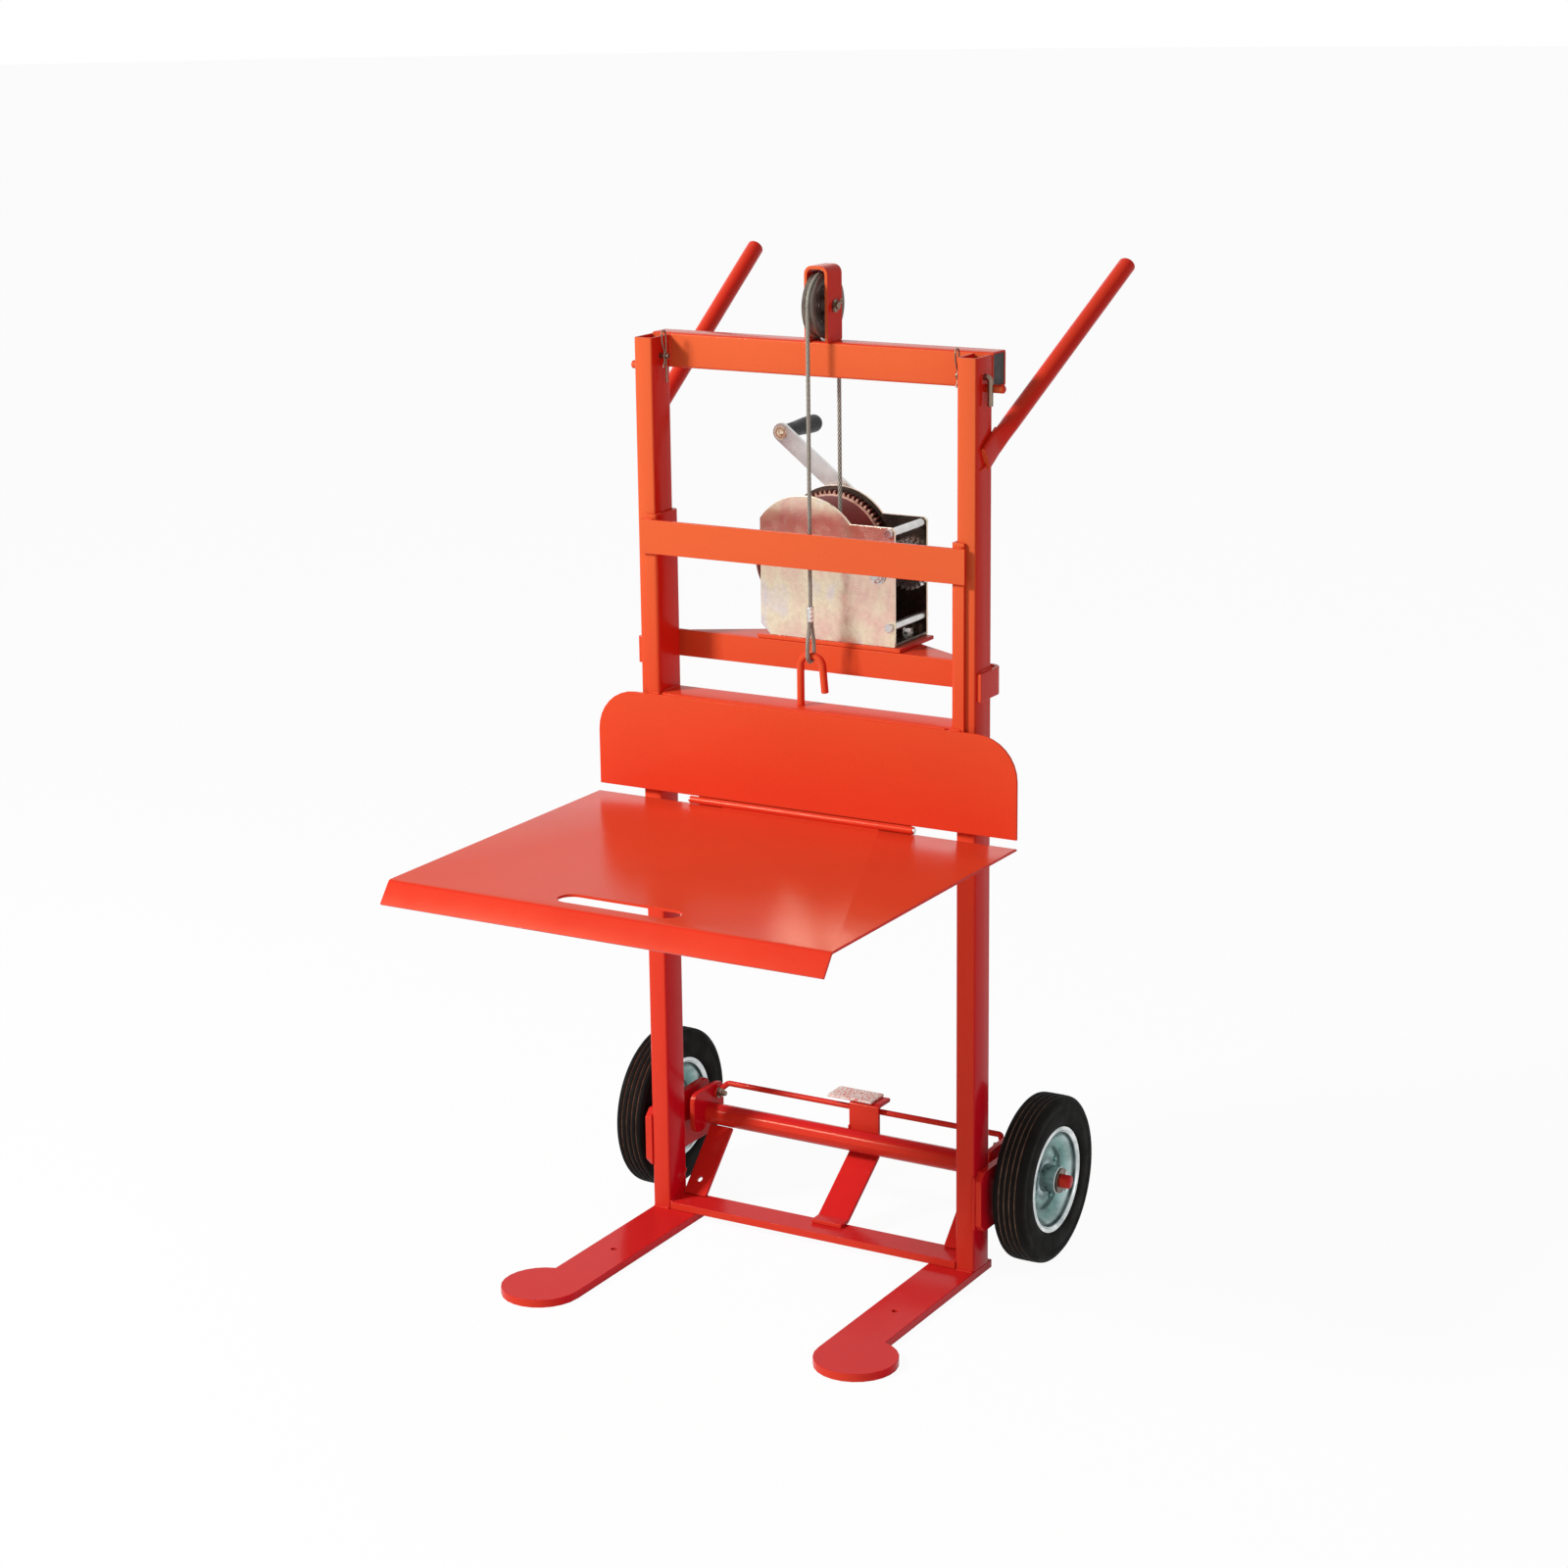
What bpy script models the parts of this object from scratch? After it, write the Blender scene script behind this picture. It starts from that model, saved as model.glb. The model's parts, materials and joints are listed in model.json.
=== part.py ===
"""Lifting hand truck: a two post mast on wheels and feet, a platform carriage and a geared hand winch.

Run with blender --background --python part.py, or from Blender's text editor. Units are metres and
+Z is up. X = 0 is the mast's middle, Y = 0 is the front face of the uprights (+Y is the rear, where
the winch and the wheels are) and Z = 0 is the floor. All pieces hang under the empty hand_truck,
which shifts them in Y so that the world origin is the middle of the bounding box's bottom.
"""

import math

import bmesh
import bpy
from mathutils import Matrix, Vector

# Clearances
SEAT = 0.0003
SLIDE_GAP = 0.0005
FLANGE_GAP = 0.001
TURN_GAP = 0.0004
ROPE_GAP = 0.0008
BACKLASH = 0.0002

# Mast: two rectangular tubes and the tube across their rear at the top
MAST_WIDTH = 0.550
UPRIGHT_DEPTH = 0.050
UPRIGHT_FACE = 0.030
UPRIGHT_WALL = 0.0025
UPRIGHT_CORNER = 0.004
UPRIGHT_TOP = 1.348
TOP_BAR_HEIGHT = 0.050
TOP_BAR_DEPTH = 0.040
TOP_BAR_WALL = 0.003
TOP_BAR_TOP = 1.350
PLUG_LENGTH = 0.014
PLUG_INSET = 0.001
PEG_RADIUS = 0.006
PEG_LENGTH = 0.026
PEG_Y = 0.036
PEG_Z = 1.303

# Stop pins through the uprights, with their spring clips
STOP_PIN_RADIUS = 0.004
STOP_PIN_Y = 0.025
STOP_PIN_Z = 1.320
STOP_PIN_INSIDE = 0.0135
STOP_PIN_OUTSIDE = 0.009
STOP_PIN_LEG = 0.036
STOP_PIN_BEND = 0.006
CLIP_WIRE_RADIUS = 0.0013
CLIP_FROM_END = 0.0045
CLIP_BELOW = 0.038
CLIP_ABOVE = 0.024
CLIP_LOOP_RADIUS = 0.0055

# Push handles
HANDLE_RADIUS = 0.01275
HANDLE_FLAT = 0.007
HANDLE_FOOT_Y = 0.022
HANDLE_FOOT_Z = 1.2075
HANDLE_TIP_X = 0.3115
HANDLE_TIP_Y = 0.412
HANDLE_TIP_Z = 1.436
HANDLE_FLAT_LENGTH = 0.034
HANDLE_CREASE_LENGTH = 0.048

# Rope and pulley
ROPE_RADIUS = 0.003
PULLEY_PITCH_RADIUS = 0.045
PULLEY_Y = 0.067
PULLEY_ABOVE_BAR = 0.050
PULLEY_RIM_RADIUS = 0.0475
PULLEY_RIM_HALF = 0.0085
PULLEY_HUB_RADIUS = 0.014
PULLEY_HUB_HALF = 0.0125
PULLEY_PIN_RADIUS = 0.005
PULLEY_PIN_HALF = 0.026
BRACKET_WIDTH = 0.042
BRACKET_THICK = 0.005
BRACKET_HALF = 0.019
BRACKET_ABOVE_PULLEY = 0.0565
BRACKET_CORNER = 0.012
FERRULE_ABOVE_HOOK = 0.049
FERRULE_LENGTH = 0.023
FERRULE_HALF_X = 0.0050
FERRULE_HALF_Y = 0.0066

# Winch shelf: a hoop round the uprights' outer faces, a plate and a pad
HOOP_BOTTOM = 0.868
HOOP_HEIGHT = 0.040
HOOP_THICK = 0.006
HOOP_FRONT = 0.005
HOOP_REAR = 0.076
HOOP_BEND = 0.012
SHELF_THICK = 0.005
SHELF_FRONT_HALF = 0.236
SHELF_REAR_HALF = 0.053
SHELF_REAR = 0.178
PAD_HALF = 0.118
PAD_FRONT = 0.072
PAD_THICK = 0.0057

# Winch frame, drum and gears
WINCH_FRONT = 0.075
WINCH_REAR = 0.179
WINCH_SHEET = 0.005
WINCH_LEFT = -0.113
WINCH_RIGHT = 0.108
WINCH_SHOULDER = 1.088
WINCH_HUMP_RADIUS = 0.0937
WINCH_CHAMFER = 0.016
DRUM_Z = 1.030
DRUM_PITCH_RADIUS = 0.038
DRUM_FLANGE_RADIUS = 0.088
DRUM_REAR_FLANGE_RADIUS = 0.083
DRUM_FLANGE_THICK = 0.003
DRUM_FRONT = 0.082
DRUM_REAR = 0.161
DRUM_AXLE_RADIUS = 0.008
GEAR_MODULE = 0.0025
GEAR_TEETH = 68
PINION_TEETH = 28
GEAR_WIDTH = 0.010
PINION_BELOW_DRUM = 0.012
PINION_SHAFT_RADIUS = 0.008
SPACER_X = 0.100
SPACER_TOP_Z = 1.080
SPACER_BOTTOM_Z = 0.943
SPACER_RADIUS = 0.006
BOLT_RADIUS = 0.004
BOLT_HEAD_RADIUS = 0.007
BOLT_HEAD_THICK = 0.005
BRAKE_RADIUS = 0.031
BRAKE_REAR = 0.1947
CRANK_FRONT = 0.195
CRANK_THICK = 0.006
CRANK_WIDTH = 0.028
CRANK_LENGTH = 0.285
CRANK_ANGLE = math.radians(142.6)
CRANK_NUT_THICK = 0.008
GRIP_FRONT_RADIUS = 0.010
GRIP_REAR_RADIUS = 0.0135
GRIP_LENGTH = 0.103
SPINDLE_RADIUS = 0.005
RIVET_RADIUS = 0.007

# Carriage: channel rails round the uprights, two cross members, back plate, hook and platform
RAIL_THICK = 0.005
RAIL_REACH = 0.0205
RAIL_BEND = 0.004
RAIL_BOTTOM = 0.680
RAIL_TOP = 1.093
UPPER_BAR_BOTTOM = 1.036
UPPER_BAR_HEIGHT = 0.050
UPPER_BAR_THICK = 0.006
UPPER_BAR_HALF = 0.264
BACK_PLATE_HALF = 0.345
BACK_PLATE_BOTTOM = 0.680
BACK_PLATE_TOP = 0.826
BACK_PLATE_THICK = 0.004
BACK_PLATE_CORNER = 0.063
LOWER_ANGLE_TOP = 0.828
LOWER_ANGLE_THICK = 0.005
LOWER_ANGLE_DROP = 0.050
HOOK_RADIUS = 0.0055
HOOK_LEFT_X = -0.017
HOOK_RIGHT_X = 0.021
HOOK_CREST_Z = 0.903
HOOK_END_Z = 0.850
PLATFORM_TOP = 0.669
PLATFORM_THICK = 0.004
PLATFORM_HALF = 0.345
PLATFORM_FOLD_Y = -0.540
LIP_REACH = 0.022
LIP_DROP = 0.028
PLATFORM_BEND = 0.006
HEEL_BOTTOM = 0.640
HEEL_HALF = 0.180
SLOT_LENGTH = 0.190
SLOT_WIDTH = 0.038
SLOT_Y = -0.499
KNUCKLE_RADIUS = 0.0055
HINGE_PIN_RADIUS = 0.003
HINGE_HALF = 0.185
CENTRE_KNUCKLE_HALF = 0.130
LEAF_HALF = 0.176
LEAF_THICK = 0.005

# Feet, base bar and struts
FOOT_THICK = 0.012
FOOT_INNER = 0.200
FOOT_REAR = 0.060
FOOT_PAD_RADIUS = 0.060
FOOT_PAD_Y = -0.330
FOOT_HOLE_X = 0.237
FOOT_HOLE_Y = -0.172
FOOT_HOLE_RADIUS = 0.0045
BASE_BAR_HEIGHT = 0.0117
STRUT_INNER = 0.206
STRUT_THICK = 0.006
STRUT_FOOT_Y = 0.046
STRUT_HOLE_RADIUS = 0.0045
STRUT_HOLE_X = 0.227
STRUT_HOLE_ALONG = 0.020

# Axle, its brackets, stay and step
AXLE_Y = 0.132
AXLE_Z = 0.125
AXLE_TUBE_RADIUS = 0.01685
AXLE_TUBE_WALL = 0.0030
AXLE_RADIUS = 0.010
AXLE_END = 0.0141
AXLE_COLLAR_RADIUS = 0.016
AXLE_END_CHAMFER = 0.002
AXLE_BRACKET_THICK = 0.0117
AXLE_BRACKET_REAR = 0.171
AXLE_BRACKET_BOTTOM = 0.075
AXLE_BRACKET_TOP = 0.167
AXLE_BRACKET_CHAMFER = 0.012
LUG_INNER = 0.250
LUG_THICK = 0.008
LUG_FRONT = 0.084
LUG_REAR = 0.172
LUG_BOTTOM = 0.104
LUG_TOP = 0.168
LUG_CORNER = 0.014
STAY_RADIUS = 0.0045
STAY_Y = 0.165
STAY_Z = 0.165
STAY_BOLT_Y = 0.151
STAY_BOLT_Z = 0.153
STAY_BOLT_RADIUS = 0.004
STAY_EYE_RADIUS = 0.009
STAY_EYE_THICK = 0.004
STEP_CENTRE_X = 0.0125
STEP_WIDTH = 0.051
STEP_THICK = 0.006
STEP_RISE_Z = 0.098
STEP_TOP = 0.181
TREAD_LEFT = -0.050
TREAD_RIGHT = 0.026
TREAD_FRONT = 0.148
TREAD_REAR = 0.190
TREAD_THICK = 0.004

# Wheels
WHEEL_RADIUS = 0.125
TYRE_WIDTH = 0.050
WHEEL_INNER = 0.298
TYRE_SHOULDER = 0.008
TREAD_GROOVE_DEPTH = 0.003
TREAD_GROOVE_WIDTH = 0.0025
TREAD_GROOVES = 4
RIM_LIP_RADIUS = 0.080
RIM_SEAT_RADIUS = 0.0765
RIM_LIP_WIDTH = 0.004
RIM_DISC_RADIUS = 0.056
RIM_DISC_THICK = 0.005
HUB_RADIUS = 0.020
HUB_OVERHANG = 0.0025
WASHER_RADIUS = 0.0185
WASHER_THICK = 0.003

# Sides of round pieces
WHEEL_ROUND = 24
ROUND = 24
SMALL_ROUND = 12
WIRE_ROUND = 10

# Places that several pieces share
UPRIGHT_OUTER = MAST_WIDTH / 2
UPRIGHT_INNER = UPRIGHT_OUTER - UPRIGHT_FACE
TOP_BAR_FRONT = UPRIGHT_DEPTH + SEAT
TOP_BAR_REAR = TOP_BAR_FRONT + TOP_BAR_DEPTH
TOP_BAR_BOTTOM = TOP_BAR_TOP - TOP_BAR_HEIGHT
BESIDE_MAST = UPRIGHT_OUTER + SEAT
ROPE_FRONT_Y = PULLEY_Y - PULLEY_PITCH_RADIUS
ROPE_REAR_Y = PULLEY_Y + PULLEY_PITCH_RADIUS
PULLEY_Z = TOP_BAR_TOP + PULLEY_ABOVE_BAR
BRACKET_TOP = PULLEY_Z + BRACKET_ABOVE_PULLEY
FERRULE_BOTTOM = HOOK_CREST_Z + FERRULE_ABOVE_HOOK
FERRULE_TOP = FERRULE_BOTTOM + FERRULE_LENGTH
HOOP_TOP = HOOP_BOTTOM + HOOP_HEIGHT
PAD_BOTTOM = HOOP_TOP + SEAT
WINCH_BOTTOM = PAD_BOTTOM + PAD_THICK + SEAT
WINCH_INNER_FRONT = WINCH_FRONT + WINCH_SHEET
WINCH_INNER_REAR = WINCH_REAR - WINCH_SHEET
GEAR_FRONT = DRUM_REAR + SEAT
GEAR_REAR = GEAR_FRONT + GEAR_WIDTH
DRUM_X = -DRUM_PITCH_RADIUS
GEAR_CENTRES = GEAR_MODULE * (GEAR_TEETH + PINION_TEETH) / 2
PINION_X = DRUM_X + math.sqrt(GEAR_CENTRES**2 - PINION_BELOW_DRUM**2)
PINION_Z = DRUM_Z - PINION_BELOW_DRUM
MESH_ANGLE = math.atan2(PINION_Z - DRUM_Z, PINION_X - DRUM_X)
CRANK_REAR = CRANK_FRONT + CRANK_THICK
TIP_X = PINION_X + CRANK_LENGTH * math.cos(CRANK_ANGLE)
TIP_Z = PINION_Z + CRANK_LENGTH * math.sin(CRANK_ANGLE)
RAIL_WEB = UPRIGHT_INNER - SLIDE_GAP - RAIL_THICK / 2
RAIL_FRONT = -FLANGE_GAP - RAIL_THICK
RAIL_REAR = UPRIGHT_DEPTH + FLANGE_GAP + RAIL_THICK
BACK_PLATE_REAR = RAIL_FRONT - SEAT
BACK_PLATE_FRONT = BACK_PLATE_REAR - BACK_PLATE_THICK
HINGE_Y = BACK_PLATE_FRONT - KNUCKLE_RADIUS + 0.0018
HINGE_Z = PLATFORM_TOP + SEAT + KNUCKLE_RADIUS
FOOT_OUTER = UPRIGHT_OUTER
FOOT_PAD_X = FOOT_INNER + FOOT_PAD_RADIUS
BASE_BAR_BOTTOM = FOOT_THICK + SEAT
BASE_BAR_TOP = BASE_BAR_BOTTOM + BASE_BAR_HEIGHT
STRUT_OUTER = UPRIGHT_INNER - SEAT
WHEEL_OUTER = WHEEL_INNER + TYRE_WIDTH
WHEEL_MIDDLE = WHEEL_INNER + TYRE_WIDTH / 2
HUB_INNER = WHEEL_INNER - HUB_OVERHANG
HUB_OUTER = WHEEL_OUTER + HUB_OVERHANG
WASHER_INNER = HUB_OUTER + TURN_GAP
WASHER_OUTER = WASHER_INNER + WASHER_THICK
AXLE_HALF = WASHER_OUTER + AXLE_END


def clear_scene():
    for obj in list(bpy.data.objects):
        bpy.data.objects.remove(obj, do_unlink=True)


def material(name, colour, roughness, metallic=0.0):
    made = bpy.data.materials.new(name)
    made.use_nodes = True
    shader = made.node_tree.nodes["Principled BSDF"]
    shader.inputs["Base Color"].default_value = (*colour, 1.0)
    shader.inputs["Roughness"].default_value = roughness
    shader.inputs["Metallic"].default_value = metallic
    made.diffuse_color = (*colour, 1.0)
    return made


def place_of(obj):
    """Where an object's origin lies, counted through its parents."""
    at = Vector((0.0, 0.0, 0.0))
    while obj:
        at += obj.location
        obj = obj.parent
    return at


def link(obj, parent, at):
    bpy.context.scene.collection.objects.link(obj)
    obj.location = Vector(at) - place_of(parent)
    obj.parent = parent
    return obj


def pivot(name, parent, at):
    """An empty on a joint's axis, which carries the pieces that move together."""
    return link(bpy.data.objects.new(name, None), parent, at)


def add(name, bm, finish, parent, smooth=False):
    """Turns a bmesh into the named object, with its origin at its parent's."""
    bmesh.ops.recalc_face_normals(bm, faces=bm.faces)
    at = place_of(parent)
    bm.transform(Matrix.Translation(-at))
    mesh = bpy.data.meshes.new(name)
    bm.to_mesh(mesh)
    bm.free()
    mesh.materials.append(finish)
    if smooth:
        mesh.shade_smooth()
        mesh.set_sharp_from_angle(angle=math.radians(38))
    return link(bpy.data.objects.new(name, mesh), parent, at)


def combine(obj, shapes, operation):
    """Joins bmeshes to an object, or cuts them out of it, through one hidden helper."""
    mesh = bpy.data.meshes.new(f"{obj.name}_{operation.lower()}")
    whole = bmesh.new()
    for bm in shapes:
        bmesh.ops.recalc_face_normals(bm, faces=bm.faces)
        part = bpy.data.meshes.new("part")
        bm.to_mesh(part)
        bm.free()
        whole.from_mesh(part)
        bpy.data.meshes.remove(part)
    at = place_of(obj)
    whole.transform(Matrix.Translation(-at))
    whole.to_mesh(mesh)
    whole.free()
    helper = link(bpy.data.objects.new(mesh.name, mesh), obj, at)
    helper.hide_render = True
    helper.display_type = "WIRE"
    modifier = obj.modifiers.new(operation.title(), "BOOLEAN")
    modifier.operation = operation
    modifier.solver = "EXACT"
    modifier.object = helper
    return obj


def drill(obj, *cutters):
    return combine(obj, cutters, "DIFFERENCE")


def weld(obj, *shapes):
    for shape in shapes:
        combine(obj, [shape], "UNION")
    return obj


def spot(axis, along, u, v):
    """A point from its place along an axis and its two coordinates across it."""
    if axis == "X":
        return (along, u, v)
    if axis == "Y":
        return (u, along, v)
    return (u, v, along)


def block(x0, x1, y0, y1, z0, z1):
    bm = bmesh.new()
    bmesh.ops.create_cube(bm, size=1.0)
    bmesh.ops.scale(bm, verts=bm.verts, vec=(x1 - x0, y1 - y0, z1 - z0))
    middle = ((x0 + x1) / 2, (y0 + y1) / 2, (z0 + z1) / 2)
    bmesh.ops.translate(bm, verts=bm.verts, vec=middle)
    return bm


def prism(outline, axis, start, end):
    """A closed outline, extruded along an axis."""
    bm = bmesh.new()
    face = bm.faces.new([bm.verts.new(spot(axis, start, u, v)) for u, v in outline])
    made = bmesh.ops.extrude_face_region(bm, geom=[face])
    moved = [item for item in made["geom"] if isinstance(item, bmesh.types.BMVert)]
    bmesh.ops.translate(bm, verts=moved, vec=spot(axis, end - start, 0.0, 0.0))
    return bm


def rings(bm, loops, wrap):
    """Faces between loops of as many points each; wrap also joins the last to the first."""
    following = loops[1:] + (loops[:1] if wrap else [])
    for near, far in zip(loops, following):
        for i, corner in enumerate(near):
            j = (i + 1) % len(near)
            bm.faces.new((corner, near[j], far[j], far[i]))


def hollow_prism(outer, inner, axis, start, end):
    """A tube: the space between two outlines of as many points, extruded along an axis."""
    bm = bmesh.new()
    loops = []
    for outline, along in ((outer, start), (outer, end), (inner, end), (inner, start)):
        loops.append([bm.verts.new(spot(axis, along, u, v)) for u, v in outline])
    rings(bm, loops, wrap=True)
    return bm


def turned(profile, axis, centre, steps=ROUND):
    """A profile of (place along the axis, radius), turned round the axis by a spin.

    A profile whose ends lie on the axis is solid there; any other is closed into a ring.
    """
    bm = bmesh.new()
    verts = []
    for along, radius in profile:
        verts.append(bm.verts.new(spot(axis, along, centre[0] + radius, centre[1])))
    edges = [bm.edges.new(pair) for pair in zip(verts, verts[1:])]
    if profile[0][1] or profile[-1][1]:
        edges.append(bm.edges.new((verts[-1], verts[0])))
    bmesh.ops.spin(
        bm,
        geom=verts + edges,
        cent=spot(axis, 0.0, *centre),
        axis=spot(axis, 1.0, 0.0, 0.0),
        angle=math.tau,
        steps=steps,
        use_merge=True,
    )
    bmesh.ops.remove_doubles(bm, verts=bm.verts, dist=1e-6)
    return bm


def cylinder(axis, centre, radius, start, end, steps=SMALL_ROUND):
    profile = [(start, 0.0), (start, radius), (end, radius), (end, 0.0)]
    return turned(profile, axis, centre, steps)


def swept(path, radius, steps=WIRE_ROUND):
    """A round bar along a path, its section carried from point to point without twist."""
    path = [Vector(point) for point in path]
    bm = bmesh.new()
    loops = []
    before = None
    for i, point in enumerate(path):
        ahead = path[min(i + 1, len(path) - 1)] - path[max(i - 1, 0)]
        ahead.normalize()
        if before is None:
            across = ahead.orthogonal().normalized()
        else:
            across = (before.rotation_difference(ahead) @ across).normalized()
        before = ahead
        other = ahead.cross(across)
        loop = []
        for step in range(steps):
            angle = math.tau * step / steps
            arm = across * math.cos(angle) + other * math.sin(angle)
            loop.append(bm.verts.new(point + arm * radius))
        loops.append(loop)
    rings(bm, loops, wrap=False)
    bm.faces.new(loops[0])
    bm.faces.new(list(reversed(loops[-1])))
    return bm


def rope(name, path, radius, finish, parent, resolution=2):
    """A cord or wire as a bevelled curve with filled ends."""
    at = place_of(parent)
    curve = bpy.data.curves.new(name, "CURVE")
    curve.dimensions = "3D"
    spline = curve.splines.new("POLY")
    spline.points.add(len(path) - 1)
    for point, place in zip(spline.points, path):
        point.co = (*(Vector(place) - at), 1.0)
    curve.bevel_depth = radius
    curve.bevel_resolution = resolution
    curve.use_fill_caps = True
    curve.materials.append(finish)
    return link(bpy.data.objects.new(name, curve), parent, at)


def bent_path(points, radius, steps=4):
    """A path with each of its corners rounded by an arc of this radius."""
    points = [Vector(point).to_3d() for point in points]
    path = [points[0]]
    for before, corner, after in zip(points, points[1:], points[2:]):
        into = (corner - before).normalized()
        out = (after - corner).normalized()
        turn = into.angle(out)
        centre = corner + (out - into).normalized() * (radius / math.cos(turn / 2))
        arm = corner - into * radius * math.tan(turn / 2) - centre
        axis = into.cross(out).normalized()
        for step in range(steps + 1):
            path.append(centre + Matrix.Rotation(turn * step / steps, 3, axis) @ arm)
    path.append(points[-1])
    return path


def strip(points, thick, bend, steps=4):
    """The outline of a sheet of this thickness that follows a bent centre line."""
    path = [point.to_2d() for point in bent_path(points, bend, steps)]
    one, other = [], []
    for i, point in enumerate(path):
        sides = []
        for near, far in ((i - 1, i), (i, i + 1)):
            if near >= 0 and far < len(path):
                sides.append((path[far] - path[near]).normalized())
        ahead = sum(sides, Vector((0.0, 0.0))).normalized()
        reach = thick / 2 / ahead.dot(sides[0])
        across = Vector((-ahead.y, ahead.x)) * reach
        one.append(point + across)
        other.append(point - across)
    return [tuple(point) for point in one + other[::-1]]


def rounded(u0, u1, v0, v1, radii, steps=3):
    """A rectangle with a radius at each corner, from its low corner round by +u."""
    if isinstance(radii, float):
        radii = (radii,) * 4
    outline = []
    corners = ((u0, v0), (u1, v0), (u1, v1), (u0, v1))
    for number, ((u, v), radius) in enumerate(zip(corners, radii)):
        if not radius:
            outline.append((u, v))
            continue
        middle_u = u + radius if u == u0 else u - radius
        middle_v = v + radius if v == v0 else v - radius
        for step in range(steps + 1):
            angle = math.pi * (1.0 + number / 2 + step / steps / 2)
            along = radius * math.cos(angle)
            outline.append((middle_u + along, middle_v + radius * math.sin(angle)))
    return outline


def slot_outline(start, end, width, steps=8):
    """A bar with round ends between two centres."""
    ahead = math.atan2(end[1] - start[1], end[0] - start[0])
    outline = []
    for centre, first in ((end, ahead - math.pi / 2), (start, ahead + math.pi / 2)):
        for step in range(steps + 1):
            angle = first + math.pi * step / steps
            u = centre[0] + width / 2 * math.cos(angle)
            outline.append((u, centre[1] + width / 2 * math.sin(angle)))
    return outline


def gear_outline(teeth, centre, tooth_angle):
    """Involute teeth of 20 degrees, one of them centred on tooth_angle.

    At radius r the half tooth spans half + inv(20) - inv(acos(base / r)), with inv(a) =
    tan(a) - a; below the base circle the flank runs straight in to the root.
    """
    pressure = math.radians(20)
    pitch = GEAR_MODULE * teeth / 2
    base = pitch * math.cos(pressure)
    root = pitch - 1.25 * GEAR_MODULE
    half = math.pi / teeth / 2 - BACKLASH / pitch / 2
    at_pitch = math.tan(pressure) - pressure
    flank = []
    for radius in (root, pitch, pitch + GEAR_MODULE):
        slope = math.acos(min(1.0, base / radius))
        flank.append((radius, half + at_pitch - (math.tan(slope) - slope)))
    outline = []
    for tooth in range(teeth):
        middle = tooth_angle + math.tau * tooth / teeth
        side = [(radius, middle - spread) for radius, spread in flank]
        side += [(radius, middle + spread) for radius, spread in reversed(flank)]
        for radius, angle in side:
            u = centre[0] + radius * math.cos(angle)
            outline.append((u, centre[1] + radius * math.sin(angle)))
    return outline


def build_mast(root, red, plastic):
    for side, word in ((-1, "left"), (1, "right")):
        edges = sorted((side * UPRIGHT_INNER, side * UPRIGHT_OUTER))
        outer = rounded(*edges, 0.0, UPRIGHT_DEPTH, UPRIGHT_CORNER)
        wall = UPRIGHT_WALL
        inner = rounded(
            edges[0] + wall,
            edges[1] - wall,
            wall,
            UPRIGHT_DEPTH - wall,
            UPRIGHT_CORNER - wall,
        )
        foot = FOOT_THICK + SEAT
        tube = hollow_prism(outer, inner, "Z", foot, UPRIGHT_TOP)
        upright = add(f"mast_{word}", tube, red, root)
        start = side * (UPRIGHT_OUTER - UPRIGHT_WALL / 2)
        end = side * (UPRIGHT_OUTER + PEG_LENGTH)
        round_off = side * PEG_RADIUS / 3
        profile = [
            (start, 0.0),
            (start, PEG_RADIUS),
            (end - round_off, PEG_RADIUS),
            (end, PEG_RADIUS * 0.6),
            (end, 0.0),
        ]
        weld(upright, turned(profile, "X", (PEG_Y, PEG_Z), 12))
        hole = STOP_PIN_RADIUS + TURN_GAP
        through = (side * (UPRIGHT_INNER - 0.01), side * (UPRIGHT_OUTER + 0.01))
        drill(upright, cylinder("X", (STOP_PIN_Y, STOP_PIN_Z), hole, *through, 16))
    bar = hollow_prism(
        rounded(TOP_BAR_FRONT, TOP_BAR_REAR, TOP_BAR_BOTTOM, TOP_BAR_TOP, UPRIGHT_CORNER),
        rounded(
            TOP_BAR_FRONT + TOP_BAR_WALL,
            TOP_BAR_REAR - TOP_BAR_WALL,
            TOP_BAR_BOTTOM + TOP_BAR_WALL,
            TOP_BAR_TOP - TOP_BAR_WALL,
            UPRIGHT_CORNER - TOP_BAR_WALL,
        ),
        "X",
        -UPRIGHT_OUTER,
        UPRIGHT_OUTER,
    )
    add("top_crossbar", bar, red, root)
    inset = TOP_BAR_WALL + SEAT
    section = rounded(
        TOP_BAR_FRONT + inset,
        TOP_BAR_REAR - inset,
        TOP_BAR_BOTTOM + inset,
        TOP_BAR_TOP - inset,
        UPRIGHT_CORNER - TOP_BAR_WALL,
    )
    outside = UPRIGHT_OUTER - PLUG_INSET
    for side, word in ((-1, "left"), (1, "right")):
        plug = prism(section, "X", side * (outside - PLUG_LENGTH), side * outside)
        add(f"end_plug_{word}", plug, plastic, root)


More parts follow.
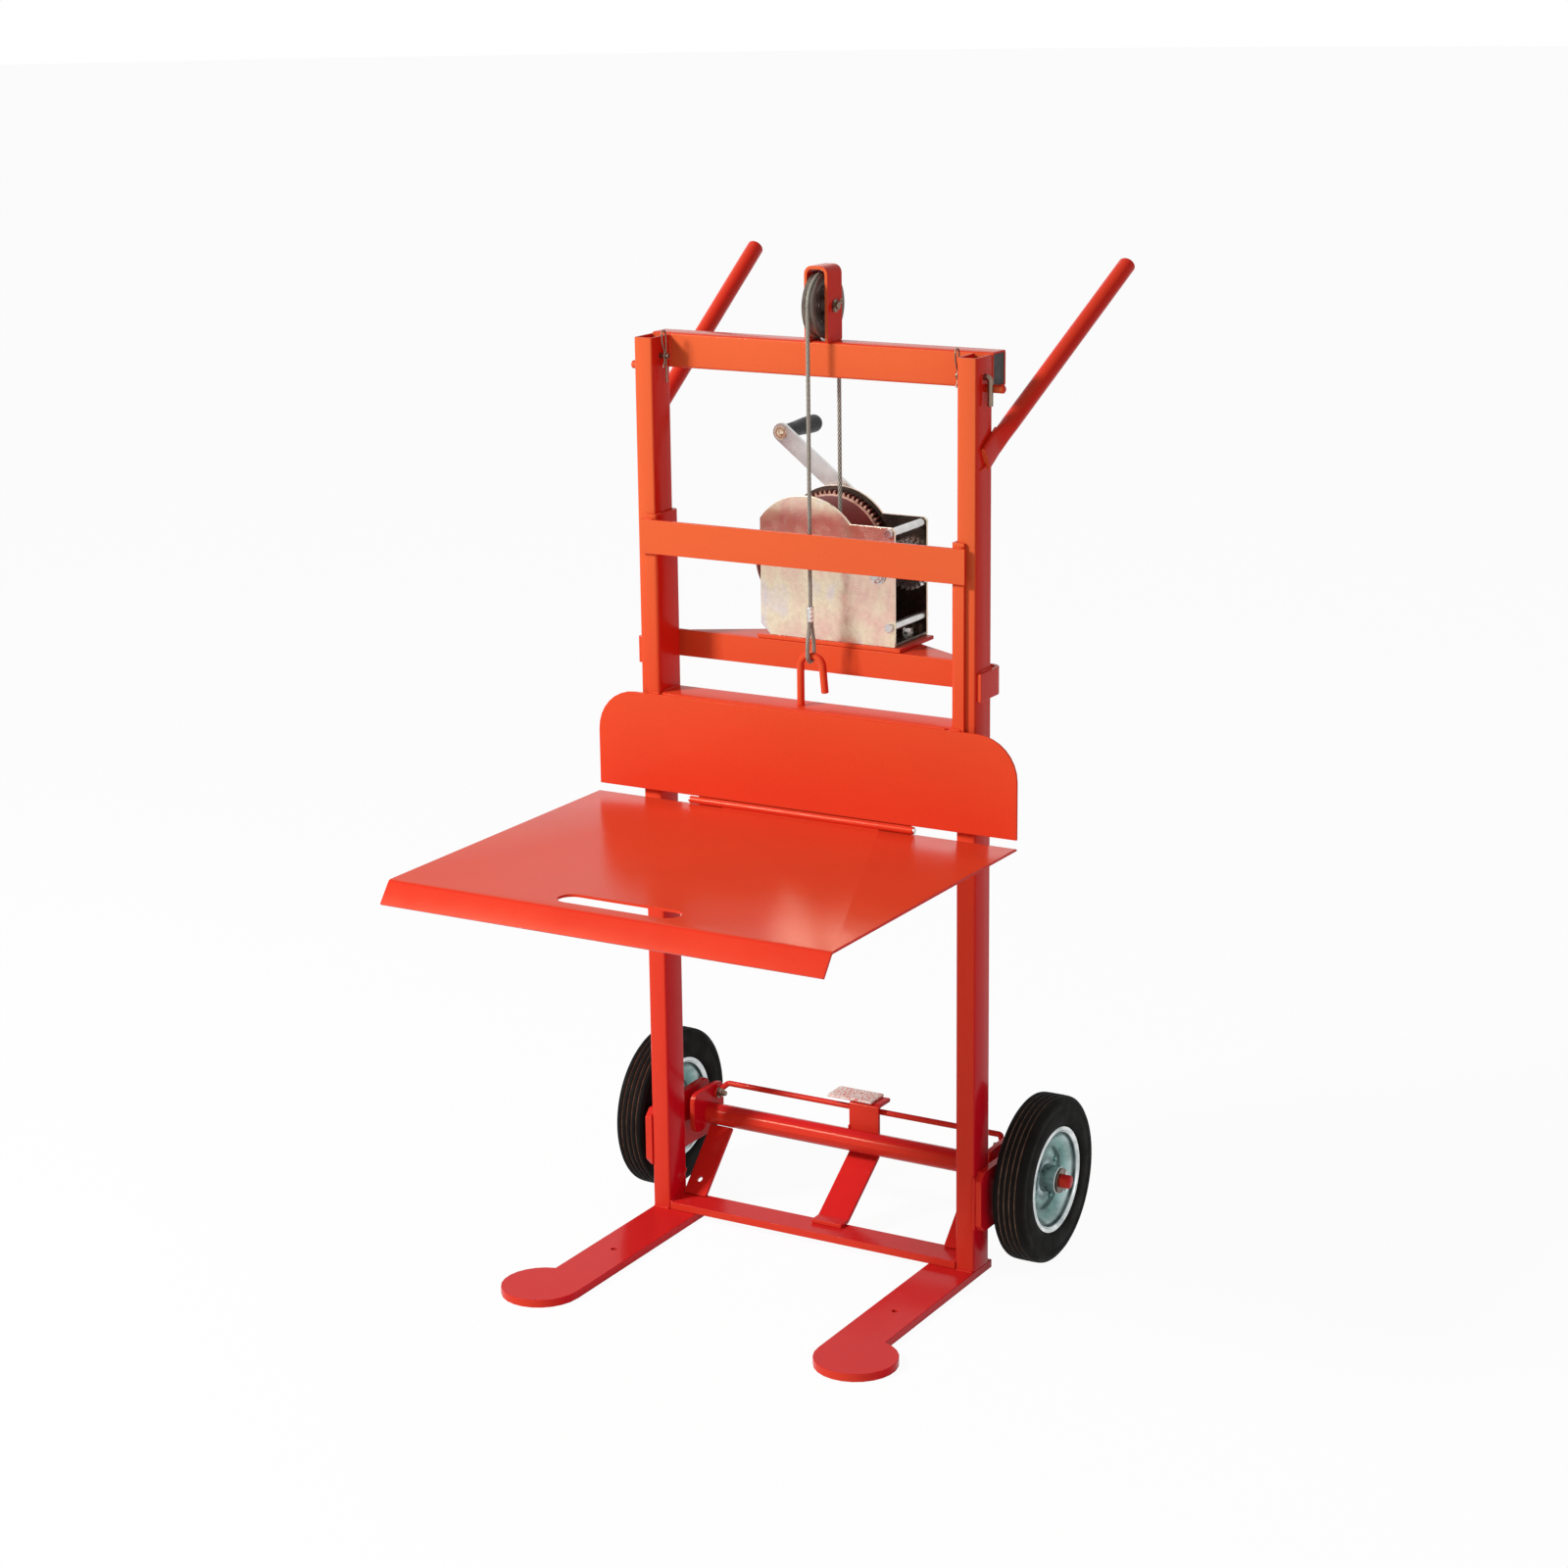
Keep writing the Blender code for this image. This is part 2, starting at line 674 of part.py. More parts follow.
def build_stop_pins(root, zinc, steel):
    """L shaped pins that turn in the uprights, each kept by a spring clip in its inner end."""
    for side, word in ((-1, "left"), (1, "right")):
        pin_axis = (side * UPRIGHT_OUTER, STOP_PIN_Y, STOP_PIN_Z)
        turning = pivot(f"stop_pin_{word}_axis", root, pin_axis)
        inside = UPRIGHT_INNER - STOP_PIN_INSIDE
        outside = UPRIGHT_OUTER + STOP_PIN_OUTSIDE
        path = bent_path(
            [
                (side * inside, STOP_PIN_Y, STOP_PIN_Z),
                (side * outside, STOP_PIN_Y, STOP_PIN_Z),
                (side * outside, STOP_PIN_Y, STOP_PIN_Z - STOP_PIN_LEG - STOP_PIN_RADIUS),
            ],
            STOP_PIN_BEND,
        )
        pin = add(f"stop_pin_{word}", swept(path, STOP_PIN_RADIUS), zinc, turning, True)
        clip_x = side * (inside + CLIP_FROM_END)
        hole = CLIP_WIRE_RADIUS + TURN_GAP
        cross = (STOP_PIN_Z - 0.01, STOP_PIN_Z + 0.01)
        drill(pin, cylinder("Z", (clip_x, STOP_PIN_Y), hole, *cross, 12))
        loop_y = STOP_PIN_Y - CLIP_LOOP_RADIUS
        loop_z = STOP_PIN_Z + CLIP_ABOVE
        path = [(clip_x, STOP_PIN_Y, STOP_PIN_Z - CLIP_BELOW)]
        for step in range(9):
            angle = math.pi * step / 8
            y = loop_y + CLIP_LOOP_RADIUS * math.cos(angle)
            path.append((clip_x, y, loop_z + CLIP_LOOP_RADIUS * math.sin(angle)))
        path.append((clip_x, loop_y - CLIP_LOOP_RADIUS * 0.8, loop_z - 0.008))
        hug = STOP_PIN_RADIUS + CLIP_WIRE_RADIUS + TURN_GAP + CLIP_WIRE_RADIUS / 4
        for step in range(7):
            angle = math.radians(125 + 110 * step / 6)
            y = STOP_PIN_Y + hug * math.cos(angle)
            path.append((clip_x, y, STOP_PIN_Z + hug * math.sin(angle)))
        path.append((clip_x, loop_y - CLIP_LOOP_RADIUS / 2, STOP_PIN_Z - 0.016))
        rope(f"r_clip_{word}", path, CLIP_WIRE_RADIUS, steel, turning)


def build_handles(root, red):
    """Round tubes, flattened where they are welded on: each ring goes from flat to round."""
    for side, word in ((-1, "left"), (1, "right")):
        foot = Vector((0.0, HANDLE_FOOT_Y, HANDLE_FOOT_Z))
        run = Vector((0.0, HANDLE_TIP_Y, HANDLE_TIP_Z)) - foot
        length = run.length
        ahead = run.normalized()
        upward = Vector((0.0, -ahead.z, ahead.y))
        foot_x = BESIDE_MAST + HANDLE_FLAT / 2
        flat_width = (math.pi * HANDLE_RADIUS * 2 - math.pi * HANDLE_FLAT) / 4
        flat_width += HANDLE_FLAT / 2
        places = [0.0, HANDLE_FLAT_LENGTH]
        for step in range(1, 5):
            places.append(HANDLE_FLAT_LENGTH + HANDLE_CREASE_LENGTH * step / 4)
        places += [length - 0.003, length]
        bm = bmesh.new()
        loops = []
        for along in places:
            past = max(0.0, along - HANDLE_FLAT_LENGTH)
            turn = min(1.0, past / HANDLE_CREASE_LENGTH)
            turn = turn * turn * (3 - 2 * turn)
            x = foot_x + (HANDLE_TIP_X - foot_x) * past / (length - HANDLE_FLAT_LENGTH)
            half_x = HANDLE_FLAT / 2 + (HANDLE_RADIUS - HANDLE_FLAT / 2) * turn
            half_z = flat_width + (HANDLE_RADIUS - flat_width) * turn
            power = 0.5 + 0.5 * turn
            if along == length:
                half_x *= 0.8
                half_z *= 0.8
            centre = foot + ahead * along
            centre.x = side * x
            loop = []
            for step in range(SMALL_ROUND):
                angle = math.tau * step / SMALL_ROUND
                wide = math.copysign(abs(math.cos(angle)) ** power, math.cos(angle))
                point = centre + upward * half_z * math.sin(angle)
                point.x += half_x * wide
                loop.append(bm.verts.new(point))
            loops.append(loop)
        rings(bm, loops, wrap=False)
        bm.faces.new(loops[0])
        bm.faces.new(loops[-1])
        add(f"handle_{word}", bm, red, root, smooth=True)


def build_pulley(root, red, steel, zinc, fibre):
    bottom = TOP_BAR_TOP + SEAT
    half = BRACKET_HALF - BRACKET_THICK / 2
    top = BRACKET_TOP - BRACKET_THICK / 2
    outline = strip(
        [(-half, bottom), (-half, top), (half, top), (half, bottom)],
        BRACKET_THICK,
        BRACKET_CORNER - BRACKET_THICK / 2,
    )
    front = PULLEY_Y - BRACKET_WIDTH / 2
    bent = prism(outline, "Y", front, front + BRACKET_WIDTH)
    bracket = add("pulley_bracket", bent, red, root)
    centre = (PULLEY_Y, PULLEY_Z)
    hole = PULLEY_PIN_RADIUS + SEAT
    drill(bracket, cylinder("X", centre, hole, -BRACKET_HALF - 0.01, BRACKET_HALF + 0.01))
    turning = pivot("pulley_axis", root, (0.0, PULLEY_Y, PULLEY_Z))
    bore = PULLEY_PIN_RADIUS + TURN_GAP
    groove = PULLEY_PITCH_RADIUS - ROPE_RADIUS - ROPE_GAP / 2
    flank = ROPE_RADIUS + ROPE_GAP
    half_side = [
        (0.0, groove),
        (flank * 0.72, groove + flank * 0.28),
        (flank, PULLEY_PITCH_RADIUS),
        (PULLEY_RIM_HALF, PULLEY_RIM_RADIUS),
        (PULLEY_RIM_HALF, PULLEY_PITCH_RADIUS * 0.78),
        (PULLEY_RIM_HALF / 2, PULLEY_PITCH_RADIUS * 0.72),
        (PULLEY_RIM_HALF / 2, PULLEY_HUB_RADIUS),
        (PULLEY_HUB_HALF, PULLEY_HUB_RADIUS),
        (PULLEY_HUB_HALF, bore),
    ]
    profile = half_side + [(-along, radius) for along, radius in half_side[:0:-1]]
    add("pulley_wheel", turned(profile, "X", centre), steel, turning, smooth=True)
    pin = cylinder("X", centre, PULLEY_PIN_RADIUS, -PULLEY_PIN_HALF, PULLEY_PIN_HALF)
    add("pulley_pin", pin, zinc, root, smooth=True)

    front = [(0.0, ROPE_FRONT_Y, PULLEY_Z), (0.0, ROPE_FRONT_Y, FERRULE_TOP + SEAT)]
    rope("rope_front", front, ROPE_RADIUS, fibre, root)
    rear = []
    for step in range(21):
        angle = math.pi * (1 - step / 20)
        y = PULLEY_Y + PULLEY_PITCH_RADIUS * math.cos(angle)
        z = PULLEY_Z + SEAT + PULLEY_PITCH_RADIUS * math.sin(angle)
        rear.append((0.0, y, z))
    rear.append((0.0, ROPE_REAR_Y, DRUM_Z + SEAT))
    rope("rope_rear", rear, ROPE_RADIUS, fibre, root)


def build_shelf(root, red):
    half = BESIDE_MAST + HOOP_THICK / 2
    rear = HOOP_REAR - HOOP_THICK / 2
    outline = strip(
        [(-half, HOOP_FRONT), (-half, rear), (half, rear), (half, HOOP_FRONT)],
        HOOP_THICK,
        HOOP_BEND + HOOP_THICK / 2,
        6,
    )
    add("shelf_hoop", prism(outline, "Z", HOOP_BOTTOM, HOOP_TOP), red, root)
    front = HOOP_REAR + SEAT
    outline = [
        (-SHELF_FRONT_HALF, front),
        (SHELF_FRONT_HALF, front),
        (SHELF_REAR_HALF, SHELF_REAR),
        (-SHELF_REAR_HALF, SHELF_REAR),
    ]
    plate = prism(outline, "Z", HOOP_TOP - SHELF_THICK, HOOP_TOP)
    add("shelf_plate", plate, red, root)
    pad = (-PAD_HALF, PAD_HALF, PAD_FRONT, SHELF_REAR, PAD_BOTTOM, PAD_BOTTOM + PAD_THICK)
    add("winch_pad", block(*pad), red, root)


def build_winch(root, yellow, zinc, drum_red, black, fibre):
    # Bent sheet frame: a cheek in front and behind, with one base
    arc = []
    start = math.acos((WINCH_LEFT - DRUM_X) / WINCH_HUMP_RADIUS)
    end = math.asin((WINCH_SHOULDER - DRUM_Z) / WINCH_HUMP_RADIUS)
    for step in range(15):
        angle = end + (start - end) * step / 14
        x = DRUM_X + WINCH_HUMP_RADIUS * math.cos(angle)
        arc.append((x, DRUM_Z + WINCH_HUMP_RADIUS * math.sin(angle)))
    outline = [
        (WINCH_LEFT + WINCH_CHAMFER, WINCH_BOTTOM),
        (WINCH_RIGHT, WINCH_BOTTOM),
        (WINCH_RIGHT, WINCH_SHOULDER - 0.005),
        (WINCH_RIGHT - 0.005, WINCH_SHOULDER),
        *arc,
        (WINCH_LEFT, WINCH_BOTTOM + WINCH_CHAMFER),
    ]
    cheeks = prism(outline, "Y", WINCH_FRONT, WINCH_REAR)
    frame = add("winch_frame", cheeks, yellow, root)
    inside = block(
        WINCH_LEFT - 0.02,
        WINCH_RIGHT + 0.02,
        WINCH_INNER_FRONT,
        WINCH_INNER_REAR,
        WINCH_BOTTOM + WINCH_SHEET,
        DRUM_Z + WINCH_HUMP_RADIUS + 0.02,
    )
    drill(frame, inside)
    across = (WINCH_FRONT - 0.01, WINCH_REAR + 0.01)
    drum_at = (DRUM_X, DRUM_Z)
    pinion_at = (PINION_X, PINION_Z)
    spacers = ((SPACER_X, SPACER_TOP_Z), (SPACER_X, SPACER_BOTTOM_Z))
    drill(
        frame,
        cylinder("Y", drum_at, DRUM_AXLE_RADIUS + SEAT, *across),
        cylinder("Y", pinion_at, PINION_SHAFT_RADIUS + TURN_GAP, *across),
        cylinder("Y", spacers[0], BOLT_RADIUS + SEAT, *across, 12),
        cylinder("Y", spacers[1], BOLT_RADIUS + SEAT, *across, 12),
    )
    near = WINCH_FRONT - SEAT
    far = WINCH_REAR + SEAT
    for at, word in zip(spacers, ("top", "bottom")):
        profile = [
            (near - BOLT_HEAD_THICK, 0.0),
            (near - BOLT_HEAD_THICK, BOLT_HEAD_RADIUS),
            (near, BOLT_HEAD_RADIUS),
            (near, BOLT_RADIUS),
            (WINCH_INNER_FRONT + SEAT, BOLT_RADIUS),
            (WINCH_INNER_FRONT + SEAT, SPACER_RADIUS),
            (WINCH_INNER_REAR - SEAT, SPACER_RADIUS),
            (WINCH_INNER_REAR - SEAT, BOLT_RADIUS),
            (far, BOLT_RADIUS),
            (far, BOLT_HEAD_RADIUS),
            (far + BOLT_HEAD_THICK, BOLT_HEAD_RADIUS),
            (far + BOLT_HEAD_THICK, 0.0),
        ]
        name = f"winch_spacer_{word}"
        add(name, turned(profile, "Y", at, WIRE_ROUND), zinc, root, smooth=True)
    head = DRUM_AXLE_RADIUS * 1.5
    profile = [
        (near - DRUM_AXLE_RADIUS, 0.0),
        (near - DRUM_AXLE_RADIUS, head),
        (near, head),
        (near, DRUM_AXLE_RADIUS),
        (far, DRUM_AXLE_RADIUS),
        (far, head),
        (far + DRUM_AXLE_RADIUS, head),
        (far + DRUM_AXLE_RADIUS, 0.0),
    ]
    add("drum_axle", turned(profile, "Y", drum_at, SMALL_ROUND), zinc, root, smooth=True)

    # Drum, with the wraps of rope and the large gear
    turning = pivot("drum_axis", root, (DRUM_X, 0.0, DRUM_Z))
    barrel = DRUM_PITCH_RADIUS - ROPE_RADIUS - ROPE_GAP
    bore = DRUM_AXLE_RADIUS + TURN_GAP
    hub = DRUM_AXLE_RADIUS * 2.5
    front_flange = DRUM_FRONT + DRUM_FLANGE_THICK
    rear_flange = DRUM_REAR - DRUM_FLANGE_THICK
    profile = [
        (WINCH_INNER_FRONT + 2 * SEAT, bore),
        (WINCH_INNER_FRONT + 2 * SEAT, DRUM_AXLE_RADIUS * 2),
        (DRUM_FRONT, DRUM_AXLE_RADIUS * 2),
        (DRUM_FRONT, DRUM_FLANGE_RADIUS),
        (front_flange, DRUM_FLANGE_RADIUS),
        (front_flange, barrel),
        (rear_flange, barrel),
        (rear_flange, DRUM_REAR_FLANGE_RADIUS),
        (DRUM_REAR, DRUM_REAR_FLANGE_RADIUS),
        (DRUM_REAR, hub),
        (WINCH_INNER_REAR - 2 * SEAT, hub),
        (WINCH_INNER_REAR - 2 * SEAT, bore),
    ]
    add("drum", turned(profile, "Y", drum_at), drum_red, turning, smooth=True)
    outline = gear_outline(GEAR_TEETH, drum_at, MESH_ANGLE)
    gear = add("drum_gear", prism(outline, "Y", GEAR_FRONT, GEAR_REAR), drum_red, turning)
    drill(gear, cylinder("Y", drum_at, hub + SEAT, *across, ROUND))
    pitch = 2 * ROPE_RADIUS + ROPE_GAP / 4
    first = front_flange + ROPE_RADIUS + SEAT
    last = ROPE_REAR_Y - 2 * ROPE_RADIUS - ROPE_GAP
    turns = (last - first) / pitch
    count = math.ceil(turns * 18)
    path = []
    for step in range(count + 1):
        turn = turns * step / count
        angle = math.tau * (turn - turns)
        x = DRUM_X + DRUM_PITCH_RADIUS * math.cos(angle)
        z = DRUM_Z + DRUM_PITCH_RADIUS * math.sin(angle)
        path.append((x, first + pitch * turn, z))
    rope("rope_wraps", path, ROPE_RADIUS, fibre, turning)

    # Pinion shaft with the brake disc, the crank and its grip
    crank = pivot("crank_axis", root, (PINION_X, 0.0, PINION_Z))
    nut = PINION_SHAFT_RADIUS * 1.4
    neck = PINION_SHAFT_RADIUS * 0.75
    profile = [
        (near - TURN_GAP - BOLT_HEAD_THICK, 0.0),
        (near - TURN_GAP - BOLT_HEAD_THICK, nut),
        (near - TURN_GAP, nut),
        (near - TURN_GAP, PINION_SHAFT_RADIUS),
        (CRANK_FRONT - SEAT, PINION_SHAFT_RADIUS),
        (CRANK_FRONT - SEAT, neck),
        (CRANK_REAR + SEAT, neck),
        (CRANK_REAR + SEAT, nut),
        (CRANK_REAR + CRANK_NUT_THICK, nut),
        (CRANK_REAR + CRANK_NUT_THICK, 0.0),
    ]
    shaft = turned(profile, "Y", pinion_at, SMALL_ROUND)
    add("pinion_shaft", shaft, zinc, crank, smooth=True)
    gap_angle = MESH_ANGLE + math.pi + math.pi / PINION_TEETH
    outline = gear_outline(PINION_TEETH, pinion_at, gap_angle)
    pinion = add("pinion", prism(outline, "Y", GEAR_FRONT, GEAR_REAR), zinc, crank)
    seat = PINION_SHAFT_RADIUS + SEAT
    drill(pinion, cylinder("Y", pinion_at, seat, *across))
    profile = [
        (far + TURN_GAP, seat),
        (far + TURN_GAP, BRAKE_RADIUS),
        (BRAKE_REAR, BRAKE_RADIUS),
        (BRAKE_REAR, seat),
    ]
    add("brake_disc", turned(profile, "Y", pinion_at), zinc, crank, smooth=True)
    tip_at = (TIP_X, TIP_Z)
    arm = prism(slot_outline(pinion_at, tip_at, CRANK_WIDTH), "Y", CRANK_FRONT, CRANK_REAR)
    arm = add("crank_arm", arm, zinc, crank)
    across = (CRANK_FRONT - 0.01, CRANK_REAR + 0.01)
    drill(
        arm,
        cylinder("Y", pinion_at, neck + SEAT, *across),
        cylinder("Y", tip_at, BOLT_RADIUS + SEAT, *across),
    )
    grip_front = CRANK_REAR + 8 * SEAT
    grip_rear = grip_front + GRIP_LENGTH
    profile = [
        (CRANK_FRONT - SEAT - BOLT_HEAD_THICK, 0.0),
        (CRANK_FRONT - SEAT - BOLT_HEAD_THICK, RIVET_RADIUS),
        (CRANK_FRONT - SEAT, RIVET_RADIUS),
        (CRANK_FRONT - SEAT, BOLT_RADIUS),
        (CRANK_REAR + SEAT, BOLT_RADIUS),
        (CRANK_REAR + SEAT, SPINDLE_RADIUS),
        (grip_rear - 0.006, SPINDLE_RADIUS),
        (grip_rear - 0.006, 0.0),
    ]
    spindle = turned(profile, "Y", tip_at, SMALL_ROUND)
    add("crank_spindle", spindle, zinc, crank, smooth=True)
    spinning = pivot("grip_axis", crank, (TIP_X, grip_front, TIP_Z))
    bore = SPINDLE_RADIUS + TURN_GAP
    wide = GRIP_REAR_RADIUS
    profile = [
        (grip_rear - 0.006 + TURN_GAP, 0.0),
        (grip_rear - 0.006 + TURN_GAP, bore),
        (grip_front, bore),
        (grip_front, GRIP_FRONT_RADIUS - 0.001),
        (grip_front + 0.002, GRIP_FRONT_RADIUS),
        (grip_rear - 0.012, wide),
        (grip_rear - 0.004, wide * 0.85),
        (grip_rear - 0.001, wide * 0.5),
        (grip_rear, 0.0),
    ]
    grip = turned(profile, "Y", tip_at, SMALL_ROUND)
    add("crank_grip", grip, black, spinning, smooth=True)


def build_carriage(root, red, zinc, fibre):
    carriage = pivot("carriage_slide", root, (0.0, 0.0, RAIL_BOTTOM))
    for side, word in ((-1, "left"), (1, "right")):
        web = side * RAIL_WEB
        reach = side * (RAIL_WEB - RAIL_THICK / 2 + RAIL_REACH)
        front = RAIL_FRONT + RAIL_THICK / 2
        rear = RAIL_REAR - RAIL_THICK / 2
        path = [(reach, front), (web, front), (web, rear), (reach, rear)]
        channel = prism(strip(path, RAIL_THICK, RAIL_BEND), "Z", RAIL_BOTTOM, RAIL_TOP)
        add(f"carriage_rail_{word}", channel, red, carriage)
    rear = BACK_PLATE_REAR
    bar = (-UPPER_BAR_HALF, UPPER_BAR_HALF, rear - UPPER_BAR_THICK, rear)
    heights = (UPPER_BAR_BOTTOM, UPPER_BAR_BOTTOM + UPPER_BAR_HEIGHT)
    add("carriage_upper_bar", block(*bar, *heights), red, carriage)
    half = BACK_PLATE_HALF
    radii = (0.0, 0.0, BACK_PLATE_CORNER, BACK_PLATE_CORNER)
    outline = rounded(-half, half, BACK_PLATE_BOTTOM, BACK_PLATE_TOP, radii, 8)
    add("back_plate", prism(outline, "Y", BACK_PLATE_FRONT, rear), red, carriage)

    # Angle between the rails, whose front leg runs on down as the hinge's fixed leaf
    half = RAIL_WEB - RAIL_THICK / 2 - SEAT
    leaf = BACK_PLATE_REAR + SEAT
    thick = LOWER_ANGLE_THICK
    top = LOWER_ANGLE_TOP - thick / 2
    path = [
        (leaf + thick / 2, LOWER_ANGLE_TOP - LOWER_ANGLE_DROP),
        (leaf + thick / 2, top),
        (UPRIGHT_DEPTH, top),
    ]
    bent = prism(strip(path, thick, thick), "X", -half, half)
    angle = add("carriage_lower_angle", bent, red, carriage)
    at = (HINGE_Y, HINGE_Z)
    start = CENTRE_KNUCKLE_HALF + SEAT
    fixed = [
        block(
            -LEAF_HALF,
            LEAF_HALF,
            leaf,
            leaf + LEAF_THICK,
            HEEL_BOTTOM,
            LOWER_ANGLE_TOP - LOWER_ANGLE_DROP / 2,
        )
    ]
    for side in (-1, 1):
        web = sorted((side * start, side * LEAF_HALF))
        strap = KNUCKLE_RADIUS * 0.45
        fixed.append(block(*web, HINGE_Y, leaf + 0.002, HINGE_Z - strap, HINGE_Z + strap))
        fixed.append(cylinder("X", at, KNUCKLE_RADIUS, side * start, side * HINGE_HALF))
    weld(angle, *fixed)
    bore = HINGE_PIN_RADIUS + TURN_GAP
    drill(angle, cylinder("X", at, bore, -HINGE_HALF - 0.01, HINGE_HALF + 0.01, 16))
    pin = cylinder("X", at, HINGE_PIN_RADIUS, -HINGE_HALF - 0.001, HINGE_HALF + 0.001, 16)
    add("hinge_pin", pin, zinc, carriage, smooth=True)

    # Hook for the rope's eye, with the ferrule and the eye
    y = ROPE_FRONT_Y
    path = bent_path(
        [
            (HOOK_LEFT_X, y, LOWER_ANGLE_TOP + SEAT),
            (HOOK_LEFT_X, y, HOOK_CREST_Z),
            (HOOK_RIGHT_X - 0.003, y, HOOK_CREST_Z),
            (HOOK_RIGHT_X + 0.002, y, HOOK_END_Z),
        ],
        (HOOK_RIGHT_X - HOOK_LEFT_X) / 2 - 0.003,
        6,
    )
    add("lift_hook", swept(path, HOOK_RADIUS), red, carriage, smooth=True)
    outline = []
    for step in range(SMALL_ROUND):
        angle = math.tau * step / SMALL_ROUND
        along = FERRULE_HALF_Y * math.sin(angle)
        outline.append((FERRULE_HALF_X * math.cos(angle), y + along))
    ferrule = prism(outline, "Z", FERRULE_BOTTOM, FERRULE_TOP)
    add("ferrule", ferrule, zinc, carriage, smooth=True)
    apart = ROPE_RADIUS + SEAT
    around = HOOK_RADIUS + ROPE_RADIUS + ROPE_GAP
    leg = [
        (apart, FERRULE_BOTTOM - SEAT),
        (apart + 0.0005, FERRULE_BOTTOM - 0.008),
        (around, HOOK_CREST_Z + 0.018),
    ]
    path = [(0.0, y - along, z) for along, z in leg]
    for step in range(13):
        angle = math.pi * (1 + step / 12)
        z = HOOK_CREST_Z + around * math.sin(angle)
        path.append((0.0, y + around * math.cos(angle), z))
    path += [(0.0, y + along, z) for along, z in reversed(leg)]
    rope("rope_eye", path, ROPE_RADIUS, fibre, carriage)
    return carriage


def build_platform(carriage, red):
    """Folded sheet: a heel behind the barrel, the deck and a lip bent down in front."""
    folding = pivot("platform_hinge", carriage, (0.0, HINGE_Y, HINGE_Z))
    middle = PLATFORM_TOP - PLATFORM_THICK / 2
    heel = BACK_PLATE_REAR - PLATFORM_THICK / 2
    path = [
        (heel, HEEL_BOTTOM),
        (heel, middle),
        (PLATFORM_FOLD_Y, middle),
        (PLATFORM_FOLD_Y - LIP_REACH, middle - LIP_DROP),
    ]
    outline = strip(path, PLATFORM_THICK, PLATFORM_BEND)
    sheet = prism(outline, "X", -PLATFORM_HALF, PLATFORM_HALF)
    platform = add("platform", sheet, red, folding)
    ends = []
    for side in (-1, 1):
        wide = sorted((side * HEEL_HALF, side * (PLATFORM_HALF + 0.01)))
        near = heel - PLATFORM_BEND - PLATFORM_THICK
        tall = (HEEL_BOTTOM - 0.01, PLATFORM_TOP - PLATFORM_THICK)
        ends.append(block(*wide, near, heel + PLATFORM_THICK, *tall))
    drill(platform, *ends)
    half = CENTRE_KNUCKLE_HALF
    root_of_barrel = KNUCKLE_RADIUS * 0.45
    weld(
        platform,
        block(
            -half,
            half,
            HINGE_Y - root_of_barrel,
            HINGE_Y + root_of_barrel,
            middle,
            HINGE_Z,
        ),
        cylinder("X", (HINGE_Y, HINGE_Z), KNUCKLE_RADIUS, -half, half),
    )
    bore = HINGE_PIN_RADIUS + TURN_GAP
    ends = (-half - 0.01, half + 0.01)
    drill(platform, cylinder("X", (HINGE_Y, HINGE_Z), bore, *ends, 16))
    run = (SLOT_LENGTH - SLOT_WIDTH) / 2
    slot = slot_outline((-run, SLOT_Y), (run, SLOT_Y), SLOT_WIDTH)
    thick = PLATFORM_THICK
    drill(platform, prism(slot, "Z", PLATFORM_TOP - 3 * thick, PLATFORM_TOP + thick))


def build_base(root, red):
    for side, word in ((-1, "left"), (1, "right")):
        pad_x = FOOT_PAD_X
        start = math.acos((FOOT_OUTER - pad_x) / FOOT_PAD_RADIUS)
        outline = [(side * FOOT_INNER, FOOT_REAR)]
        for step in range(19):
            angle = math.pi + (math.pi + start) * step / 18
            x = pad_x + FOOT_PAD_RADIUS * math.cos(angle)
            outline.append((side * x, FOOT_PAD_Y + FOOT_PAD_RADIUS * math.sin(angle)))
        outline.append((side * FOOT_OUTER, FOOT_REAR))
        foot = add(f"foot_{word}", prism(outline, "Z", 0.0, FOOT_THICK), red, root)
        hole_at = (side * FOOT_HOLE_X, FOOT_HOLE_Y)
        drill(foot, cylinder("Z", hole_at, FOOT_HOLE_RADIUS, -0.01, FOOT_THICK + 0.01, 16))

        # Strut at 45 degrees from the base bar to the underside of the axle tube
        foot_z = BASE_BAR_TOP + SEAT + STRUT_THICK * math.sqrt(0.5)
        off = abs((AXLE_Y - STRUT_FOOT_Y) - (AXLE_Z - foot_z)) * math.sqrt(0.5)
        reach = ((AXLE_Y - STRUT_FOOT_Y) + (AXLE_Z - foot_z)) * math.sqrt(0.5)
        side_off = max(0.0, off - STRUT_THICK / 2)
        reach -= math.sqrt((AXLE_TUBE_RADIUS + SEAT) ** 2 - side_off**2)
        inner, outer = sorted((side * STRUT_INNER, side * STRUT_OUTER))
        flat = block(inner, outer, -STRUT_THICK, reach, -STRUT_THICK / 2, STRUT_THICK / 2)
        hole_at = (side * STRUT_HOLE_X, STRUT_HOLE_ALONG)
        hole = cylinder("Z", hole_at, STRUT_HOLE_RADIUS, -0.01, 0.01, 16)
        turn = Matrix.Rotation(math.radians(45), 4, "X")
        tilt = Matrix.Translation((0.0, STRUT_FOOT_Y, foot_z)) @ turn
        flat.transform(tilt)
        hole.transform(tilt)
        below = block(inner - 0.01, outer + 0.01, 0.0, UPRIGHT_DEPTH * 2, -0.01, BASE_BAR_TOP + SEAT)
        drill(add(f"strut_{word}", flat, red, root), hole, below)
    half = UPRIGHT_INNER - SEAT
    bar = (-half, half, 0.0, UPRIGHT_DEPTH, BASE_BAR_BOTTOM, BASE_BAR_TOP)
    add("base_bar", block(*bar), red, root)


